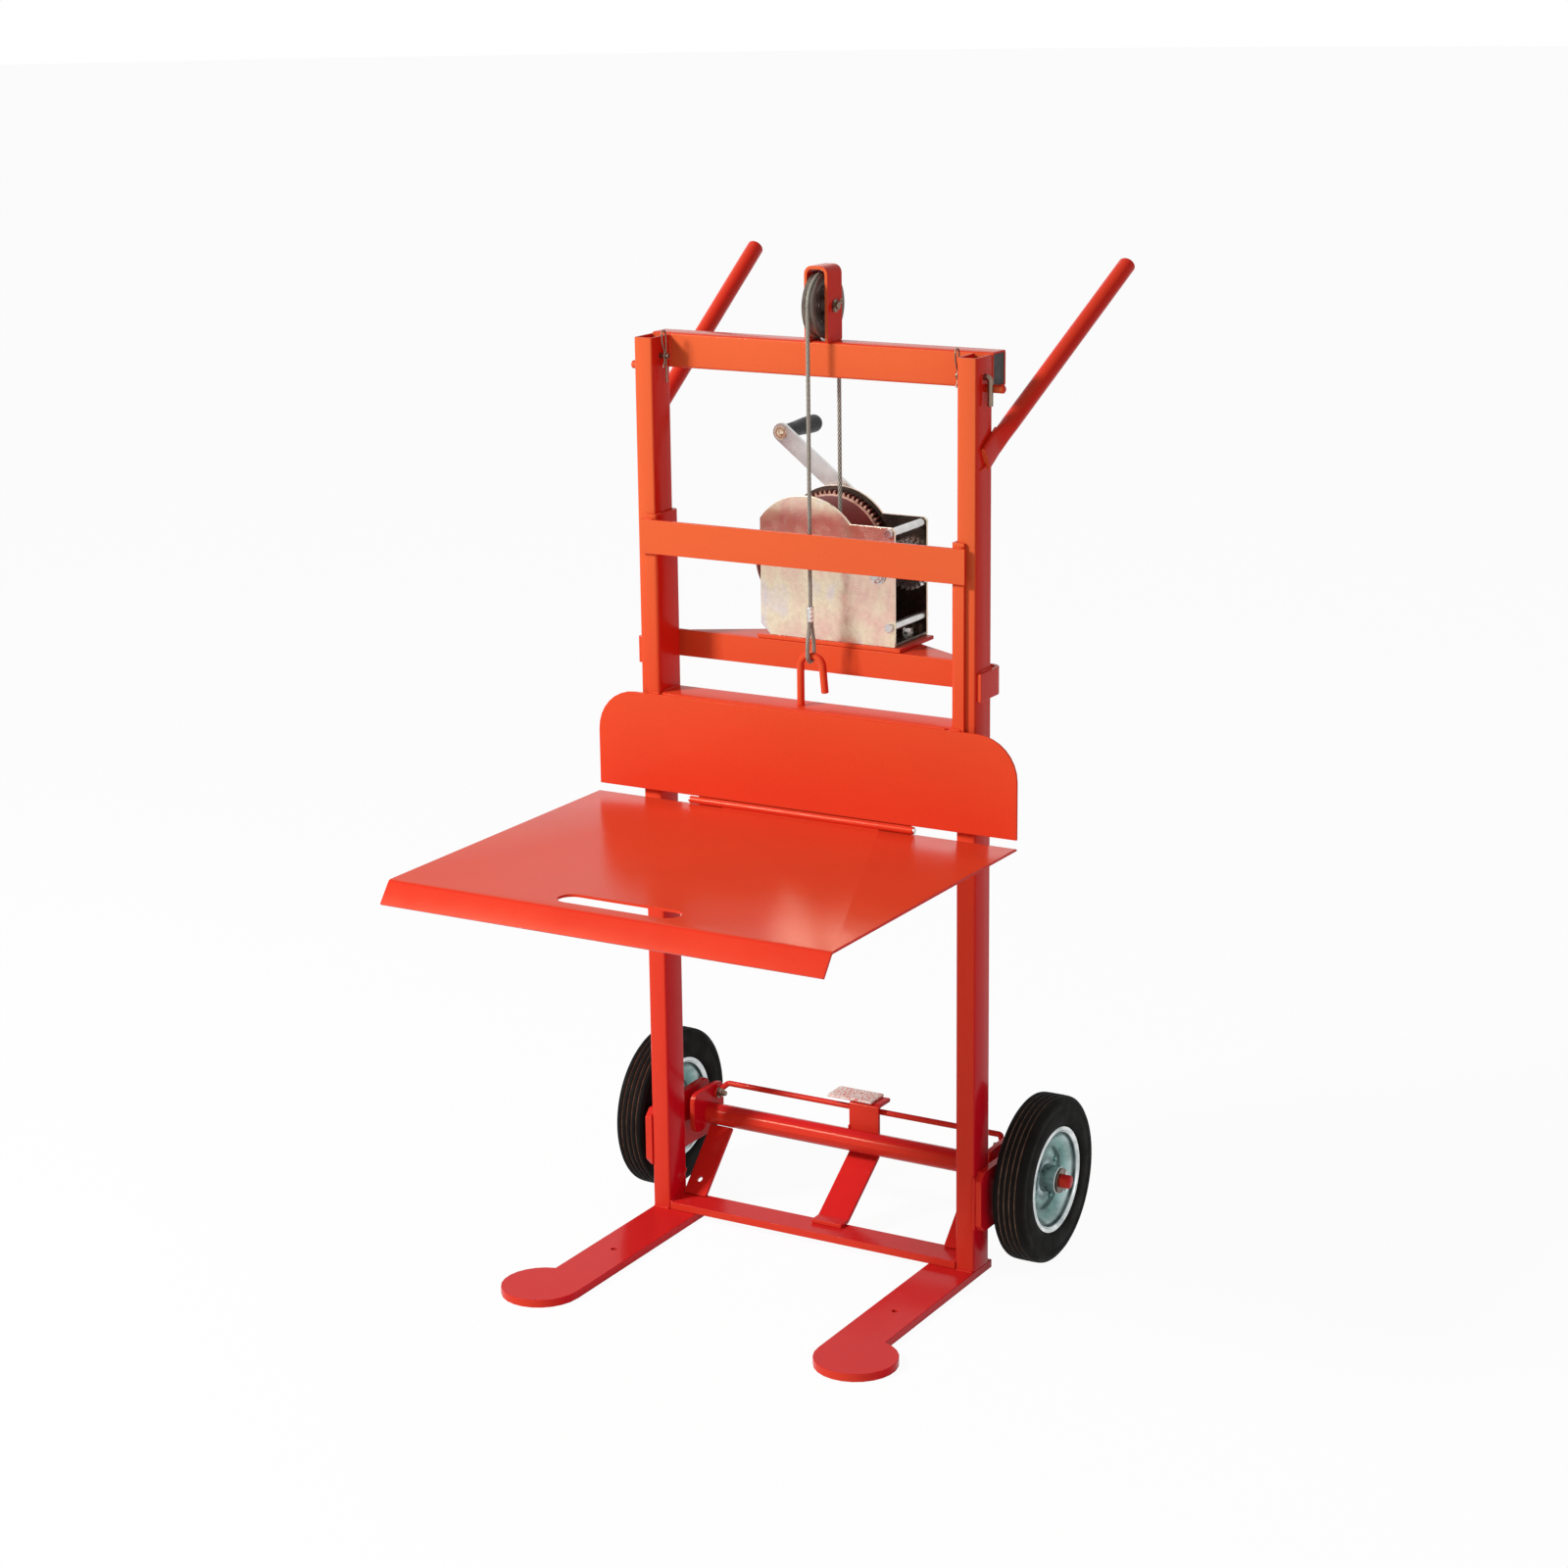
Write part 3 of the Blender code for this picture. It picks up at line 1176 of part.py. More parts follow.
def build_axle(root, red, zinc, tread):
    at = (AXLE_Y, AXLE_Z)
    half = UPRIGHT_OUTER - SEAT
    tube = add("axle_tube", cylinder("X", at, AXLE_TUBE_RADIUS, -half, half), red, root, True)
    lugs = []
    corners = (LUG_CORNER, LUG_CORNER, LUG_CORNER, LUG_CORNER)
    outline = rounded(LUG_FRONT, LUG_REAR, LUG_BOTTOM, LUG_TOP, corners)
    for side in (-1, 1):
        lugs.append(prism(outline, "X", side * LUG_INNER, side * (LUG_INNER + LUG_THICK)))
    weld(tube, *lugs)
    reach = half + 0.01
    bolt_at = (STAY_BOLT_Y, STAY_BOLT_Z)
    bolt_hole = STAY_BOLT_RADIUS + SEAT
    drill(
        tube,
        cylinder("X", at, AXLE_TUBE_RADIUS - AXLE_TUBE_WALL, -reach, reach),
        cylinder("X", bolt_at, bolt_hole, -reach, reach, 12),
    )
    chamfer = AXLE_BRACKET_CHAMFER
    for side, word in ((-1, "left"), (1, "right")):
        outline = [
            (chamfer, AXLE_BRACKET_BOTTOM),
            (AXLE_BRACKET_REAR - chamfer / 2, AXLE_BRACKET_BOTTOM),
            (AXLE_BRACKET_REAR, AXLE_BRACKET_BOTTOM + chamfer / 2),
            (AXLE_BRACKET_REAR, AXLE_BRACKET_TOP - chamfer / 2),
            (AXLE_BRACKET_REAR - chamfer / 2, AXLE_BRACKET_TOP),
            (chamfer, AXLE_BRACKET_TOP),
            (0.0, AXLE_BRACKET_TOP - chamfer),
            (0.0, AXLE_BRACKET_BOTTOM + chamfer),
        ]
        faces = (side * BESIDE_MAST, side * (BESIDE_MAST + AXLE_BRACKET_THICK))
        plate = prism(outline, "X", *faces)
        bracket = add(f"axle_bracket_{word}", plate, red, root)
        through = (side * (BESIDE_MAST - 0.01), side * (BESIDE_MAST + 0.03))
        drill(bracket, cylinder("X", at, AXLE_RADIUS + SEAT, *through))
    collar_inner = BESIDE_MAST + AXLE_BRACKET_THICK + SEAT
    collar_outer = HUB_INNER - TURN_GAP
    right = [
        (collar_inner, AXLE_RADIUS),
        (collar_inner, AXLE_COLLAR_RADIUS),
        (collar_outer, AXLE_COLLAR_RADIUS),
        (collar_outer, AXLE_RADIUS),
        (AXLE_HALF - AXLE_END_CHAMFER, AXLE_RADIUS),
        (AXLE_HALF, AXLE_RADIUS - AXLE_END_CHAMFER),
        (AXLE_HALF, 0.0),
    ]
    profile = [(-along, radius) for along, radius in reversed(right)] + right
    axle = add("axle", turned(profile, "X", at, SMALL_ROUND), red, root, smooth=True)
    pin_x = (WASHER_OUTER + AXLE_HALF) / 2
    holes = []
    for side in (-1, 1):
        edge = (AXLE_Z - 0.02, AXLE_Z + 0.02)
        holes.append(cylinder("Z", (side * pin_x, AXLE_Y), AXLE_RADIUS / 4, *edge, 12))
    drill(axle, *holes)
    for side, word in ((-1, "left"), (1, "right")):
        ring = [
            (side * WASHER_INNER, AXLE_RADIUS + SEAT),
            (side * WASHER_INNER, WASHER_RADIUS),
            (side * WASHER_OUTER, WASHER_RADIUS),
            (side * WASHER_OUTER, AXLE_RADIUS + SEAT),
        ]
        add(f"washer_{word}", turned(ring, "X", at, SMALL_ROUND), zinc, root, smooth=True)

    # Stay between the lugs, with a flat eye at each end
    eye = LUG_INNER - SEAT
    end = (eye - STAY_RADIUS, STAY_BOLT_Y + 0.003, STAY_BOLT_Z + 0.003)
    knee = (eye - 0.013, STAY_Y, STAY_Z)
    path = bent_path([(-end[0], *end[1:]), (-knee[0], *knee[1:]), knee, end], 0.006)
    stay = add("stay_rod", swept(path, STAY_RADIUS), red, root, smooth=True)
    for side in (-1, 1):
        edges = (side * (eye - STAY_EYE_THICK), side * eye)
        weld(stay, cylinder("X", bolt_at, STAY_EYE_RADIUS, *edges))
    drill(stay, cylinder("X", bolt_at, bolt_hole, -reach, reach, 12))

    # Step: a strap from the base bar up behind the axle tube, with a tread plate on top
    low = BASE_BAR_TOP + SEAT + STEP_THICK / 2
    behind = AXLE_Y + AXLE_TUBE_RADIUS + SEAT + STEP_THICK / 2
    top = STEP_TOP - SEAT - STEP_THICK / 2
    path = [
        (UPRIGHT_DEPTH - 0.020, low),
        (UPRIGHT_DEPTH + 0.002, low),
        (behind, STEP_RISE_Z),
        (behind, top),
        (TREAD_REAR - 0.002, top),
    ]
    left = STEP_CENTRE_X - STEP_WIDTH / 2
    strap = prism(strip(path, STEP_THICK, STEP_THICK), "X", left, left + STEP_WIDTH)
    add("step_strap", strap, red, root)
    edges = (TREAD_LEFT, TREAD_RIGHT, TREAD_FRONT, TREAD_REAR)
    add("tread_plate", block(*edges, STEP_TOP, STEP_TOP + TREAD_THICK), tread, root)


def build_wheels(root, rubber, zinc):
    """Solid tyres with grooved treads on pressed rims, each rim in one piece with its hub."""
    at = (AXLE_Y, AXLE_Z)
    for side, word in ((-1, "left"), (1, "right")):
        turning = pivot(f"wheel_{word}_axis", root, (side * WHEEL_MIDDLE, *at))
        half = TYRE_WIDTH / 2
        bead = half - 1.5 * RIM_LIP_WIDTH
        crown = WHEEL_RADIUS
        tread_half = half - TYRE_SHOULDER
        tyre = [
            (-bead, RIM_SEAT_RADIUS + SEAT),
            (bead, RIM_SEAT_RADIUS + SEAT),
            (bead, RIM_LIP_RADIUS + SEAT),
            (half - 0.001, RIM_LIP_RADIUS + SEAT),
            (half, RIM_LIP_RADIUS + 0.006),
            (half, crown - TYRE_SHOULDER * 1.3),
            (half - TYRE_SHOULDER * 0.3, crown - TYRE_SHOULDER * 0.45),
            (tread_half, crown - TYRE_SHOULDER * 0.1),
        ]
        for groove in range(TREAD_GROOVES):
            middle = (0.5 - (groove + 0.5) / TREAD_GROOVES) * 2 * tread_half
            tyre.append((middle + TREAD_GROOVE_WIDTH / 2, crown))
            tyre.append((middle, crown - TREAD_GROOVE_DEPTH))
            tyre.append((middle - TREAD_GROOVE_WIDTH / 2, crown))
        tyre += [
            (-tread_half, crown - TYRE_SHOULDER * 0.1),
            (-half + TYRE_SHOULDER * 0.3, crown - TYRE_SHOULDER * 0.45),
            (-half, crown - TYRE_SHOULDER * 1.3),
            (-half, RIM_LIP_RADIUS + 0.006),
            (-half + 0.001, RIM_LIP_RADIUS + SEAT),
            (-bead, RIM_LIP_RADIUS + SEAT),
        ]
        tyre = [(side * (WHEEL_MIDDLE + along), radius) for along, radius in tyre]
        add(f"tyre_{word}", turned(tyre, "X", at, WHEEL_ROUND), rubber, turning, smooth=True)
        disc = RIM_DISC_THICK / 2
        bore = AXLE_RADIUS + TURN_GAP
        hub = half + HUB_OVERHANG
        lip = half - RIM_LIP_WIDTH / 2
        rim = [
            (hub, bore),
            (hub, HUB_RADIUS),
            (disc, HUB_RADIUS),
            (disc, RIM_DISC_RADIUS * 0.85),
            (disc + 0.004, RIM_DISC_RADIUS * 1.08),
            (bead, RIM_LIP_RADIUS - 0.0095),
            (lip, RIM_LIP_RADIUS - 0.0065),
            (lip, RIM_LIP_RADIUS),
            (bead + TURN_GAP, RIM_LIP_RADIUS),
            (bead + TURN_GAP, RIM_SEAT_RADIUS),
            (-bead - TURN_GAP, RIM_SEAT_RADIUS),
            (-bead - TURN_GAP, RIM_LIP_RADIUS),
            (-lip, RIM_LIP_RADIUS),
            (-lip, RIM_LIP_RADIUS - 0.0065),
            (-bead, RIM_LIP_RADIUS - 0.0080),
            (-disc, RIM_DISC_RADIUS * 1.25),
            (-disc, HUB_RADIUS),
            (-hub, HUB_RADIUS),
            (-hub, bore),
        ]
        rim = [(side * (WHEEL_MIDDLE + along), radius) for along, radius in rim]
        add(f"rim_{word}", turned(rim, "X", at, WHEEL_ROUND), zinc, turning, smooth=True)


def centre_on_origin(root):
    """Moves the whole part in Y, so that the middle of its box, which no rope sets, is at Y = 0."""
    bpy.context.view_layer.update()
    graph = bpy.context.evaluated_depsgraph_get()
    reach = []
    for obj in bpy.context.scene.objects:
        if obj.type != "MESH" or obj.hide_render:
            continue
        shape = obj.evaluated_get(graph)
        reach += [(shape.matrix_world @ Vector(corner)).y for corner in shape.bound_box]
    root.location.y = -(min(reach) + max(reach)) / 2


def main():
    clear_scene()
    red = material("red_paint", (0.72, 0.035, 0.018), 0.35)
    drum_red = material("drum_paint", (0.20, 0.035, 0.03), 0.45)
    zinc = material("zinc", (0.68, 0.69, 0.70), 0.32, 1.0)
    yellow = material("yellow_zinc", (0.62, 0.60, 0.44), 0.28, 1.0)
    steel = material("steel", (0.42, 0.43, 0.45), 0.35, 1.0)
    tread = material("tread_plate", (0.55, 0.50, 0.48), 0.5, 0.6)
    plastic = material("black_plastic", (0.02, 0.02, 0.022), 0.5)
    rubber = material("black_rubber", (0.025, 0.025, 0.025), 0.75)
    fibre = material("rope", (0.11, 0.10, 0.09), 0.8)
    root = pivot("hand_truck", None, (0.0, 0.0, 0.0))
    build_mast(root, red, plastic)
    build_stop_pins(root, zinc, steel)
    build_handles(root, red)
    build_pulley(root, red, steel, zinc, fibre)
    build_shelf(root, red)
    build_winch(root, yellow, zinc, drum_red, plastic, fibre)
    carriage = build_carriage(root, red, zinc, fibre)
    build_platform(carriage, red)
    build_base(root, red)
    build_axle(root, red, zinc, tread)
    build_wheels(root, rubber, zinc)
    centre_on_origin(root)


main()
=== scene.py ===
"""Looks of a two-wheeled lifting hand truck, worked out around its CAD frame.

The CAD frame is loaded first and never moved. Each operator below dresses one piece or one
group of like pieces, in metres, in the same frame as the CAD: X across the truck, Y to its
rear and Z up. New shapes are surfaces of two parameters, worked out as whole arrays.
"""

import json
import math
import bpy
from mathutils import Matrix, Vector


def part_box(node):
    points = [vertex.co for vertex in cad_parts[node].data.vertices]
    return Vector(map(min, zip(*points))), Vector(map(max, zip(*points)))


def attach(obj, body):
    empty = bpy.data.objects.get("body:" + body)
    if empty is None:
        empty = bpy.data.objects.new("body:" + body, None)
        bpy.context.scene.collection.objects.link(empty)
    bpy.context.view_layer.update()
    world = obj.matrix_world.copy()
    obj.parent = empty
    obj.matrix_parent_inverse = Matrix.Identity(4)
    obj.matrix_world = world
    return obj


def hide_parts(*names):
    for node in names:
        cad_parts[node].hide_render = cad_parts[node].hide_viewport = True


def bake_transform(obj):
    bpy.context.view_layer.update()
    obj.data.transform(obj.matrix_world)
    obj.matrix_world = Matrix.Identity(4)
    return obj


bl_info = {
    "name": "Lifting hand truck",
    "version": (1, 0, 0),
    "blender": (4, 5, 0),
    "location": "3D View > Sidebar > Hand Truck",
    "description": "Dresses the CAD frame of a lifting hand truck and lights it",
    "category": "Object",
}

import bmesh
import bpy
import numpy as np
from bpy.props import FloatProperty, FloatVectorProperty, IntProperty, PointerProperty
from mathutils import Matrix, Vector

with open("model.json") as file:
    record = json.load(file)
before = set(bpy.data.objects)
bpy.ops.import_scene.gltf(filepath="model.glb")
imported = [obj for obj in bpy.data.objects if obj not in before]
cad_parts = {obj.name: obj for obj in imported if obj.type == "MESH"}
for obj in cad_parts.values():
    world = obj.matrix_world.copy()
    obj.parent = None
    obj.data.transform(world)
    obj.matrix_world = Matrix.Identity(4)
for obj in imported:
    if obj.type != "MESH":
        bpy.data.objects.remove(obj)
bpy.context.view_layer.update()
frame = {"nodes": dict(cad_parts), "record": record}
NODES = frame["nodes"]
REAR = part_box("mast_left")[0].y  # the uprights' front faces stand here
SIDES = (("left", -1), ("right", 1))
UP = np.array((0.0, 0.0, 1.0))
MERGE = 1e-6  # points nearer than this are one point


def size(name, text, default, **more):
    """A length that a user may change, in metres."""
    return FloatProperty(name=name, description=text, default=default, min=0.0,
                         unit="LENGTH", precision=5, **more)


def colour(name, text, default):
    """A linear colour that a user may change."""
    return FloatVectorProperty(name=name, description=text, default=default, size=3,
                               subtype="COLOR", min=0.0, max=1.0)


class TruckColours(bpy.types.PropertyGroup):
    """Colours of the truck's finishes, as linear values."""

    enamel: colour("Red enamel", "Paint of the frame", (0.80, 0.022, 0.010))
    enamel_deep: colour("Deep enamel", "The paint where its tone is deeper",
                        (0.72, 0.016, 0.009))
    enamel_low: colour("Low enamel", "Tone near the floor, from the photo's light",
                       (0.64, 0.004, 0.017))
    enamel_front: colour("Front enamel", "Tone of faces to the front, from the photo's light",
                         (0.72, 0.120, 0.038))
    drum: colour("Drum paint", "Dark red-brown of the winch drum", (0.115, 0.016, 0.013))
    # Painted highlight: the pale tone laid on the drum's flange rims and bead.
    drum_rim_highlight: colour("Worn rim", "Drum paint rubbed at the flange rims", (0.62, 0.36, 0.27))
    zinc: colour("Zinc", "Bright plated steel", (0.74, 0.73, 0.71))
    rim_pale: colour("Rim bead", "Pale plated steel of the wheel's bead", (0.80, 0.82, 0.82))
    # Painted reflection: the blue-green tone of the wheel's dish.
    rim_dish_reflection: colour("Rim dish", "Blue-green cast in the wheel's dish", (0.24, 0.40, 0.38))
    cream: colour("Passivate cream", "Yellow zinc where it is palest", (0.86, 0.75, 0.55))
    rose: colour("Passivate rose", "Yellow zinc with a rose cast", (0.82, 0.56, 0.47))
    lilac: colour("Passivate lilac", "Yellow zinc with a lilac cast", (0.76, 0.68, 0.74))
    # Painted shade: the near-black tone laid between the winch's cheeks.
    inner_shade: colour("Winch grime", "Dark tone inside the winch frame, dirt and shadow together",
                  (0.050, 0.034, 0.026))
    rubber: colour("Rubber", "Tyre rubber", (0.0075, 0.0068, 0.0062))
    rubber_dust: colour("Groove dust", "Brown dust in the tread's grooves", (0.42, 0.29, 0.21))
    plastic: colour("Black plastic", "Moulded black plastic", (0.014, 0.014, 0.015))
    rope: colour("Rope wire", "Drawn wire of the rope", (0.66, 0.62, 0.52))
    # Painted shade: the near-black tone between the rope's strands.
    rope_dark: colour("Rope grease", "Grease between the strands", (0.010, 0.009, 0.007))
    bronze: colour("Browned steel", "Oiled steel of pins and clips", (0.24, 0.17, 0.125))
    iron: colour("Sheave iron", "Machined cast iron", (0.25, 0.20, 0.165))
    tread: colour("Step plate", "Pale worn metal of the step plate", (0.70, 0.52, 0.44))


class TruckSizes(bpy.types.PropertyGroup):
    """Sizes of what the CAD frame leaves out, in metres."""

    edge: size("Edge rounding", "Rounding of sheared and sawn edges", 0.0009)
    fine_edge: size("Fine rounding", "Rounding of machined edges", 0.0003)
    bead: size("Weld bead", "Radius of a weld bead", 0.0024)
    ripple: size("Weld ripple", "Pitch of the ripples of a weld bead", 0.0030)
    rope_lay: size("Rope lay", "Length of one turn of a strand", 0.042)
    around: IntProperty(name="Facets around", description="Facets round a turned piece",
                        default=72, min=12, max=256)


class TruckStage(bpy.types.PropertyGroup):
    """Camera and lamps."""

    camera: FloatVectorProperty(name="Camera", description="Place of the camera", size=3,
                                subtype="TRANSLATION", default=(2.2958, -3.9554, 1.9566))
    azimuth: FloatProperty(name="Azimuth", description="Turn of the camera round the truck",
                           subtype="ANGLE", default=math.radians(30.0447))
    elevation: FloatProperty(name="Elevation", description="Camera above the horizon",
                             subtype="ANGLE", default=math.radians(14.9579))
    roll: FloatProperty(name="Roll", description="Roll of the camera", subtype="ANGLE",
                        default=math.radians(-0.6966))
    lens: FloatProperty(name="Lens", description="Focal length in millimetres",
                        default=76.279, min=10.0)
    key: FloatProperty(name="Key lamp", description="Power of the key lamp", subtype="POWER",
                       default=225.0, min=0.0)
    fill: FloatProperty(name="Fill lamp", description="Power of the fill lamp",
                        subtype="POWER", default=18.0, min=0.0)
    ambient: FloatProperty(name="Ambient", description="Strength of the soft light around",
                           default=0.28, min=0.0, max=2.0)


def sizes():
    return bpy.context.scene.truck_sizes


def colours():
    return bpy.context.scene.truck_colours


# Surfaces. A shell is (points, faces); a piece is one shell or several joined.


def grid_faces(rows, columns, close_rows=False, close_columns=False):
    """Quads of a grid of points numbered row by row, closed on itself where asked."""
    r, c = np.meshgrid(np.arange(rows - (not close_rows)),
                       np.arange(columns - (not close_columns)), indexing="ij")
    r2, c2 = (r + 1) % rows, (c + 1) % columns
    return np.stack([r * columns + c, r * columns + c2, r2 * columns + c2, r2 * columns + c],
                    -1).reshape(-1, 4)


def joined(*shells):
    """Several shells as one, the faces renumbered."""
    points, faces, start = [], [], 0
    for p, f in shells:
        points.append(np.asarray(p, float).reshape(-1, 3))
        faces.extend((np.asarray(face) + start).tolist() for face in f)
        start += len(points[-1])
    return np.concatenate(points), faces


def unit(v):
    v = np.asarray(v, float)
    return v / np.linalg.norm(v, axis=-1, keepdims=True)


def across_axes(axis):
    """Two unit vectors square to an axis and to each other."""
    n = unit(axis)
    helper = UP if abs(n[2]) < 0.9 else np.array((0.0, 1.0, 0.0))
    u = unit(np.cross(helper, n))
    return u, np.cross(n, u)


def turned(profile, centre, axis, around=0, closed=False, wave=None):
    """Surface of revolution: point(a, t) = centre + along(a) axis + radius(a) w(t) (cos t u +
    sin t v), where wave gives w(t), such as a hexagon's, and is 1 without it."""
    around = around or sizes().around
    profile = np.asarray(profile, float)
    n = unit(axis)
    u, v = across_axes(n)
    t = np.linspace(0, 2 * np.pi, around, endpoint=False)
    w = np.ones(around) if wave is None else wave(t)
    ring = (np.cos(t) * w)[:, None] * u + (np.sin(t) * w)[:, None] * v
    points = (np.asarray(centre, float) + profile[:, None, :1] * n
              + profile[:, None, 1:] * ring[None])
    return points.reshape(-1, 3), grid_faces(len(profile), around, closed, True)


def frames_along(path, start=None):
    """Tangent and two cross axes at each point of a path, carried along without twist: each
    pair is the last one less its part along the new tangent."""
    path = np.asarray(path, float)
    tangent = unit(np.gradient(path, axis=0))
    u = across_axes(tangent[0])[0] if start is None else np.asarray(start, float)
    us = []
    for t in tangent:
        u = unit(u - t * (u @ t))
        us.append(u)
    us = np.array(us)
    return tangent, us, np.cross(tangent, us)


def swept(path, section, start=None):
    """A section carried along a path: point(s, k) = path(s) + x(s, k) u(s) + y(s, k) v(s), with
    the carried cross axes u and v, closed at both ends. The section is (k, 2) or, where it
    changes, (s, k, 2)."""
    path = np.asarray(path, float)
    section = np.asarray(section, float)
    if section.ndim == 2:
        section = np.repeat(section[None], len(path), 0)
    _, u, v = frames_along(path, start)
    points = path[:, None] + section[..., :1] * u[:, None] + section[..., 1:] * v[:, None]
    k = section.shape[1]
    points = np.concatenate([np.repeat(points[:1].mean(1)[:, None], k, 1), points,
                             np.repeat(points[-1:].mean(1)[:, None], k, 1)])
    return points.reshape(-1, 3), grid_faces(points.shape[0], points.shape[1], False, True)


def circle(radius, count):
    """Points of a circle, (count, 2)."""
    t = np.linspace(0, 2 * np.pi, count, endpoint=False)
    return np.stack([np.cos(t), np.sin(t)], -1) * radius


def bent(points, radius, steps=8):
    """A line through corner points with each inner corner rounded: an arc tangent to both legs,
    from the corner's bisector and the half angle between the legs."""
    points = [np.asarray(p, float) for p in points]
    path = [points[0]]
    for a, b, c in zip(points, points[1:], points[2:]):
        into, out = unit(a - b), unit(c - b)
        half = math.acos(float(np.clip(into @ out, -1, 1))) / 2
        if half > math.pi / 2 - 1e-4:
            path.append(b)
            continue
        middle = b + unit(into + out) * radius / math.sin(half)
        first, last = (b + leg * radius / math.tan(half) - middle for leg in (into, out))
        sweep = math.pi - 2 * half
        t = np.linspace(0, 1, steps + 1)[:, None]
        path.extend(middle + (np.sin((1 - t) * sweep) * first + np.sin(t * sweep) * last)
                    / math.sin(sweep))
    path.append(points[-1])
    return np.array(path)


def even(path, step):
    """The same line with points an even step apart, by its running length."""
    path = np.asarray(path, float)
    run = np.concatenate([[0], np.cumsum(np.linalg.norm(np.diff(path, axis=0), axis=1))])
    at = np.linspace(0, run[-1], max(2, int(round(run[-1] / step)) + 1))
    return np.stack([np.interp(at, run, path[:, k]) for k in range(3)], -1)


def rod(path, radius, count=20, chamfer=0.0008):
    """A round rod along a path, its ends chamfered: the section's radius grows from radius less
    chamfer to radius over the chamfer's length at both ends."""
    path = np.asarray(path, float)
    first, last = unit(path[1] - path[0]), unit(path[-1] - path[-2])
    path = np.concatenate([path[:1], path[:1] + first * chamfer, path[1:-1],
                           path[-1:] - last * chamfer, path[-1:]])
    radii = np.full(len(path), float(radius))
    radii[[0, -1]] -= chamfer
    return swept(path, circle(1.0, count)[None] * radii[:, None, None])


def hexagon(t):
    """Distance from the centre to a hexagon of unit inner radius, by angle."""
    return 1 / np.cos((t + np.pi / 6) % (np.pi / 3) - np.pi / 6)


def bolt_head(centre, axis, across, height):
    """A hexagon head with a chamfered top: a prism of revolution whose radius follows a
    hexagon, drawn in at the top edge to the inner circle."""
    r = across / 2
    lower = turned([(0, 0), (0, r), (height * 0.82, r)], centre, axis, 48, wave=hexagon)
    u, v = across_axes(axis)
    t = np.linspace(0, 2 * np.pi, 48, endpoint=False)
    rings = [(height * 0.82, hexagon(t) * r), (height, np.full(48, r * 0.97)),
             (height, np.zeros(48))]
    points = np.concatenate([np.asarray(centre, float) + a * unit(axis)
                             + (w * np.cos(t))[:, None] * u + (w * np.sin(t))[:, None] * v
                             for a, w in rings])
    return joined(lower, (points, grid_faces(3, 48, False, True)))


def washer(place, axis, radius, thick, around):
    """A flat washer that stands on a place."""
    return turned([(0, 0), (0, radius), (thick, radius), (thick, 0)], place, axis, around)


def fastener(place, axis, radius, thick, across, height, around=32):
    """A washer and the hexagon head on it."""
    axis = np.asarray(axis, float)
    return joined(washer(place, axis, radius, thick, around),
                  bolt_head(place + axis * thick, axis, across, height))


def both_ways(profile):
    """A profile along an axis with its mirror image before it."""
    return [(-x, r) for x, r in reversed(profile)] + list(profile)


def domed(radius, height, rows=6):
    """Profile of a dome from its foot to its pole, for turned."""
    t = np.linspace(0, np.pi / 2, rows)
    return np.stack([np.sin(t) * height, np.cos(t) * radius], -1)


# Pieces.


def clean(mesh):
    """Closes seams and poles, drops empty faces and turns the faces outwards."""
    bm = bmesh.new()
    bm.from_mesh(mesh)
    bmesh.ops.remove_doubles(bm, verts=bm.verts, dist=MERGE)
    bmesh.ops.dissolve_degenerate(bm, edges=bm.edges, dist=MERGE)
    bmesh.ops.recalc_face_normals(bm, faces=bm.faces)
    bm.to_mesh(mesh)
    bm.free()


def piece(name, shell, body, slot, replaces=(), sharp=35, values=None):
    """One finished piece: a shell made a mesh, its doubles merged, shaded smooth up to the
    sharp angle, riding on a body and finished from a slot. Values are kept on its points."""
    points, faces = shell
    mesh = bpy.data.meshes.new(name)
    mesh.from_pydata(np.asarray(points).tolist(), [], [list(face) for face in faces])
    for key, value in (values or {}).items():
        layer = mesh.attributes.new(key, "FLOAT", "POINT")
        layer.data.foreach_set("value", np.asarray(value, np.float32))
    clean(mesh)
    return settle(name, mesh, body, slot, replaces, sharp)


def settle(name, mesh, body, slot, replaces=(), sharp=35):
    """Shades a mesh, gives it its finish and lets it ride on its body, if one is named."""
    mesh.shade_smooth()
    mesh.set_sharp_from_angle(angle=math.radians(sharp))
    mesh.materials.clear()
    mesh.materials.append(finish(slot))
    obj = bpy.data.objects.new(name, mesh)
    bpy.context.scene.collection.objects.link(obj)
    if body:
        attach(obj, body)
    if replaces:
        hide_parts(*replaces)
    return obj


BODY_OF = {n: b for b, ns in frame["record"]["behaviour"]["bodies"].items() for n in ns}


def dressed(node, slot, edge=None, segments=2, sharp=30):
    """A CAD piece with its edges rounded: a copy of its mesh is merged, its flat faces are
    joined again, and a bevel rounds each edge that turns by more than the sharp angle."""
    mesh = NODES[node].data.copy()
    bm = bmesh.new()
    bm.from_mesh(mesh)
    bmesh.ops.remove_doubles(bm, verts=bm.verts, dist=MERGE)
    bmesh.ops.dissolve_limit(bm, angle_limit=math.radians(0.5), verts=bm.verts,
                             edges=bm.edges)
    bm.to_mesh(mesh)
    bm.free()
    if mesh.attributes.get("custom_normal"):
        mesh.attributes.remove(mesh.attributes["custom_normal"])
    obj = settle(node + "_finish", mesh, BODY_OF[node], slot, (node,), sharp)
    bevel = obj.modifiers.new("Rounded edges", "BEVEL")
    bevel.width = sizes().edge if edge is None else edge
    bevel.segments = segments
    bevel.limit_method = "ANGLE"
    bevel.angle_limit = math.radians(sharp)
    bevel.harden_normals = True
    return obj


# Finishes.


def made_node(tree, kind, sockets, **settings):
    """A shader node with its settings and its sockets' values or links."""
    node = tree.nodes.new("ShaderNode" + kind)
    for key, value in settings.items():
        setattr(node, key, value)
    for key, value in sockets.items():
        if isinstance(value, bpy.types.NodeSocket):
            tree.links.new(value, node.inputs[key])
        else:
            node.inputs[key].default_value = value
    return node


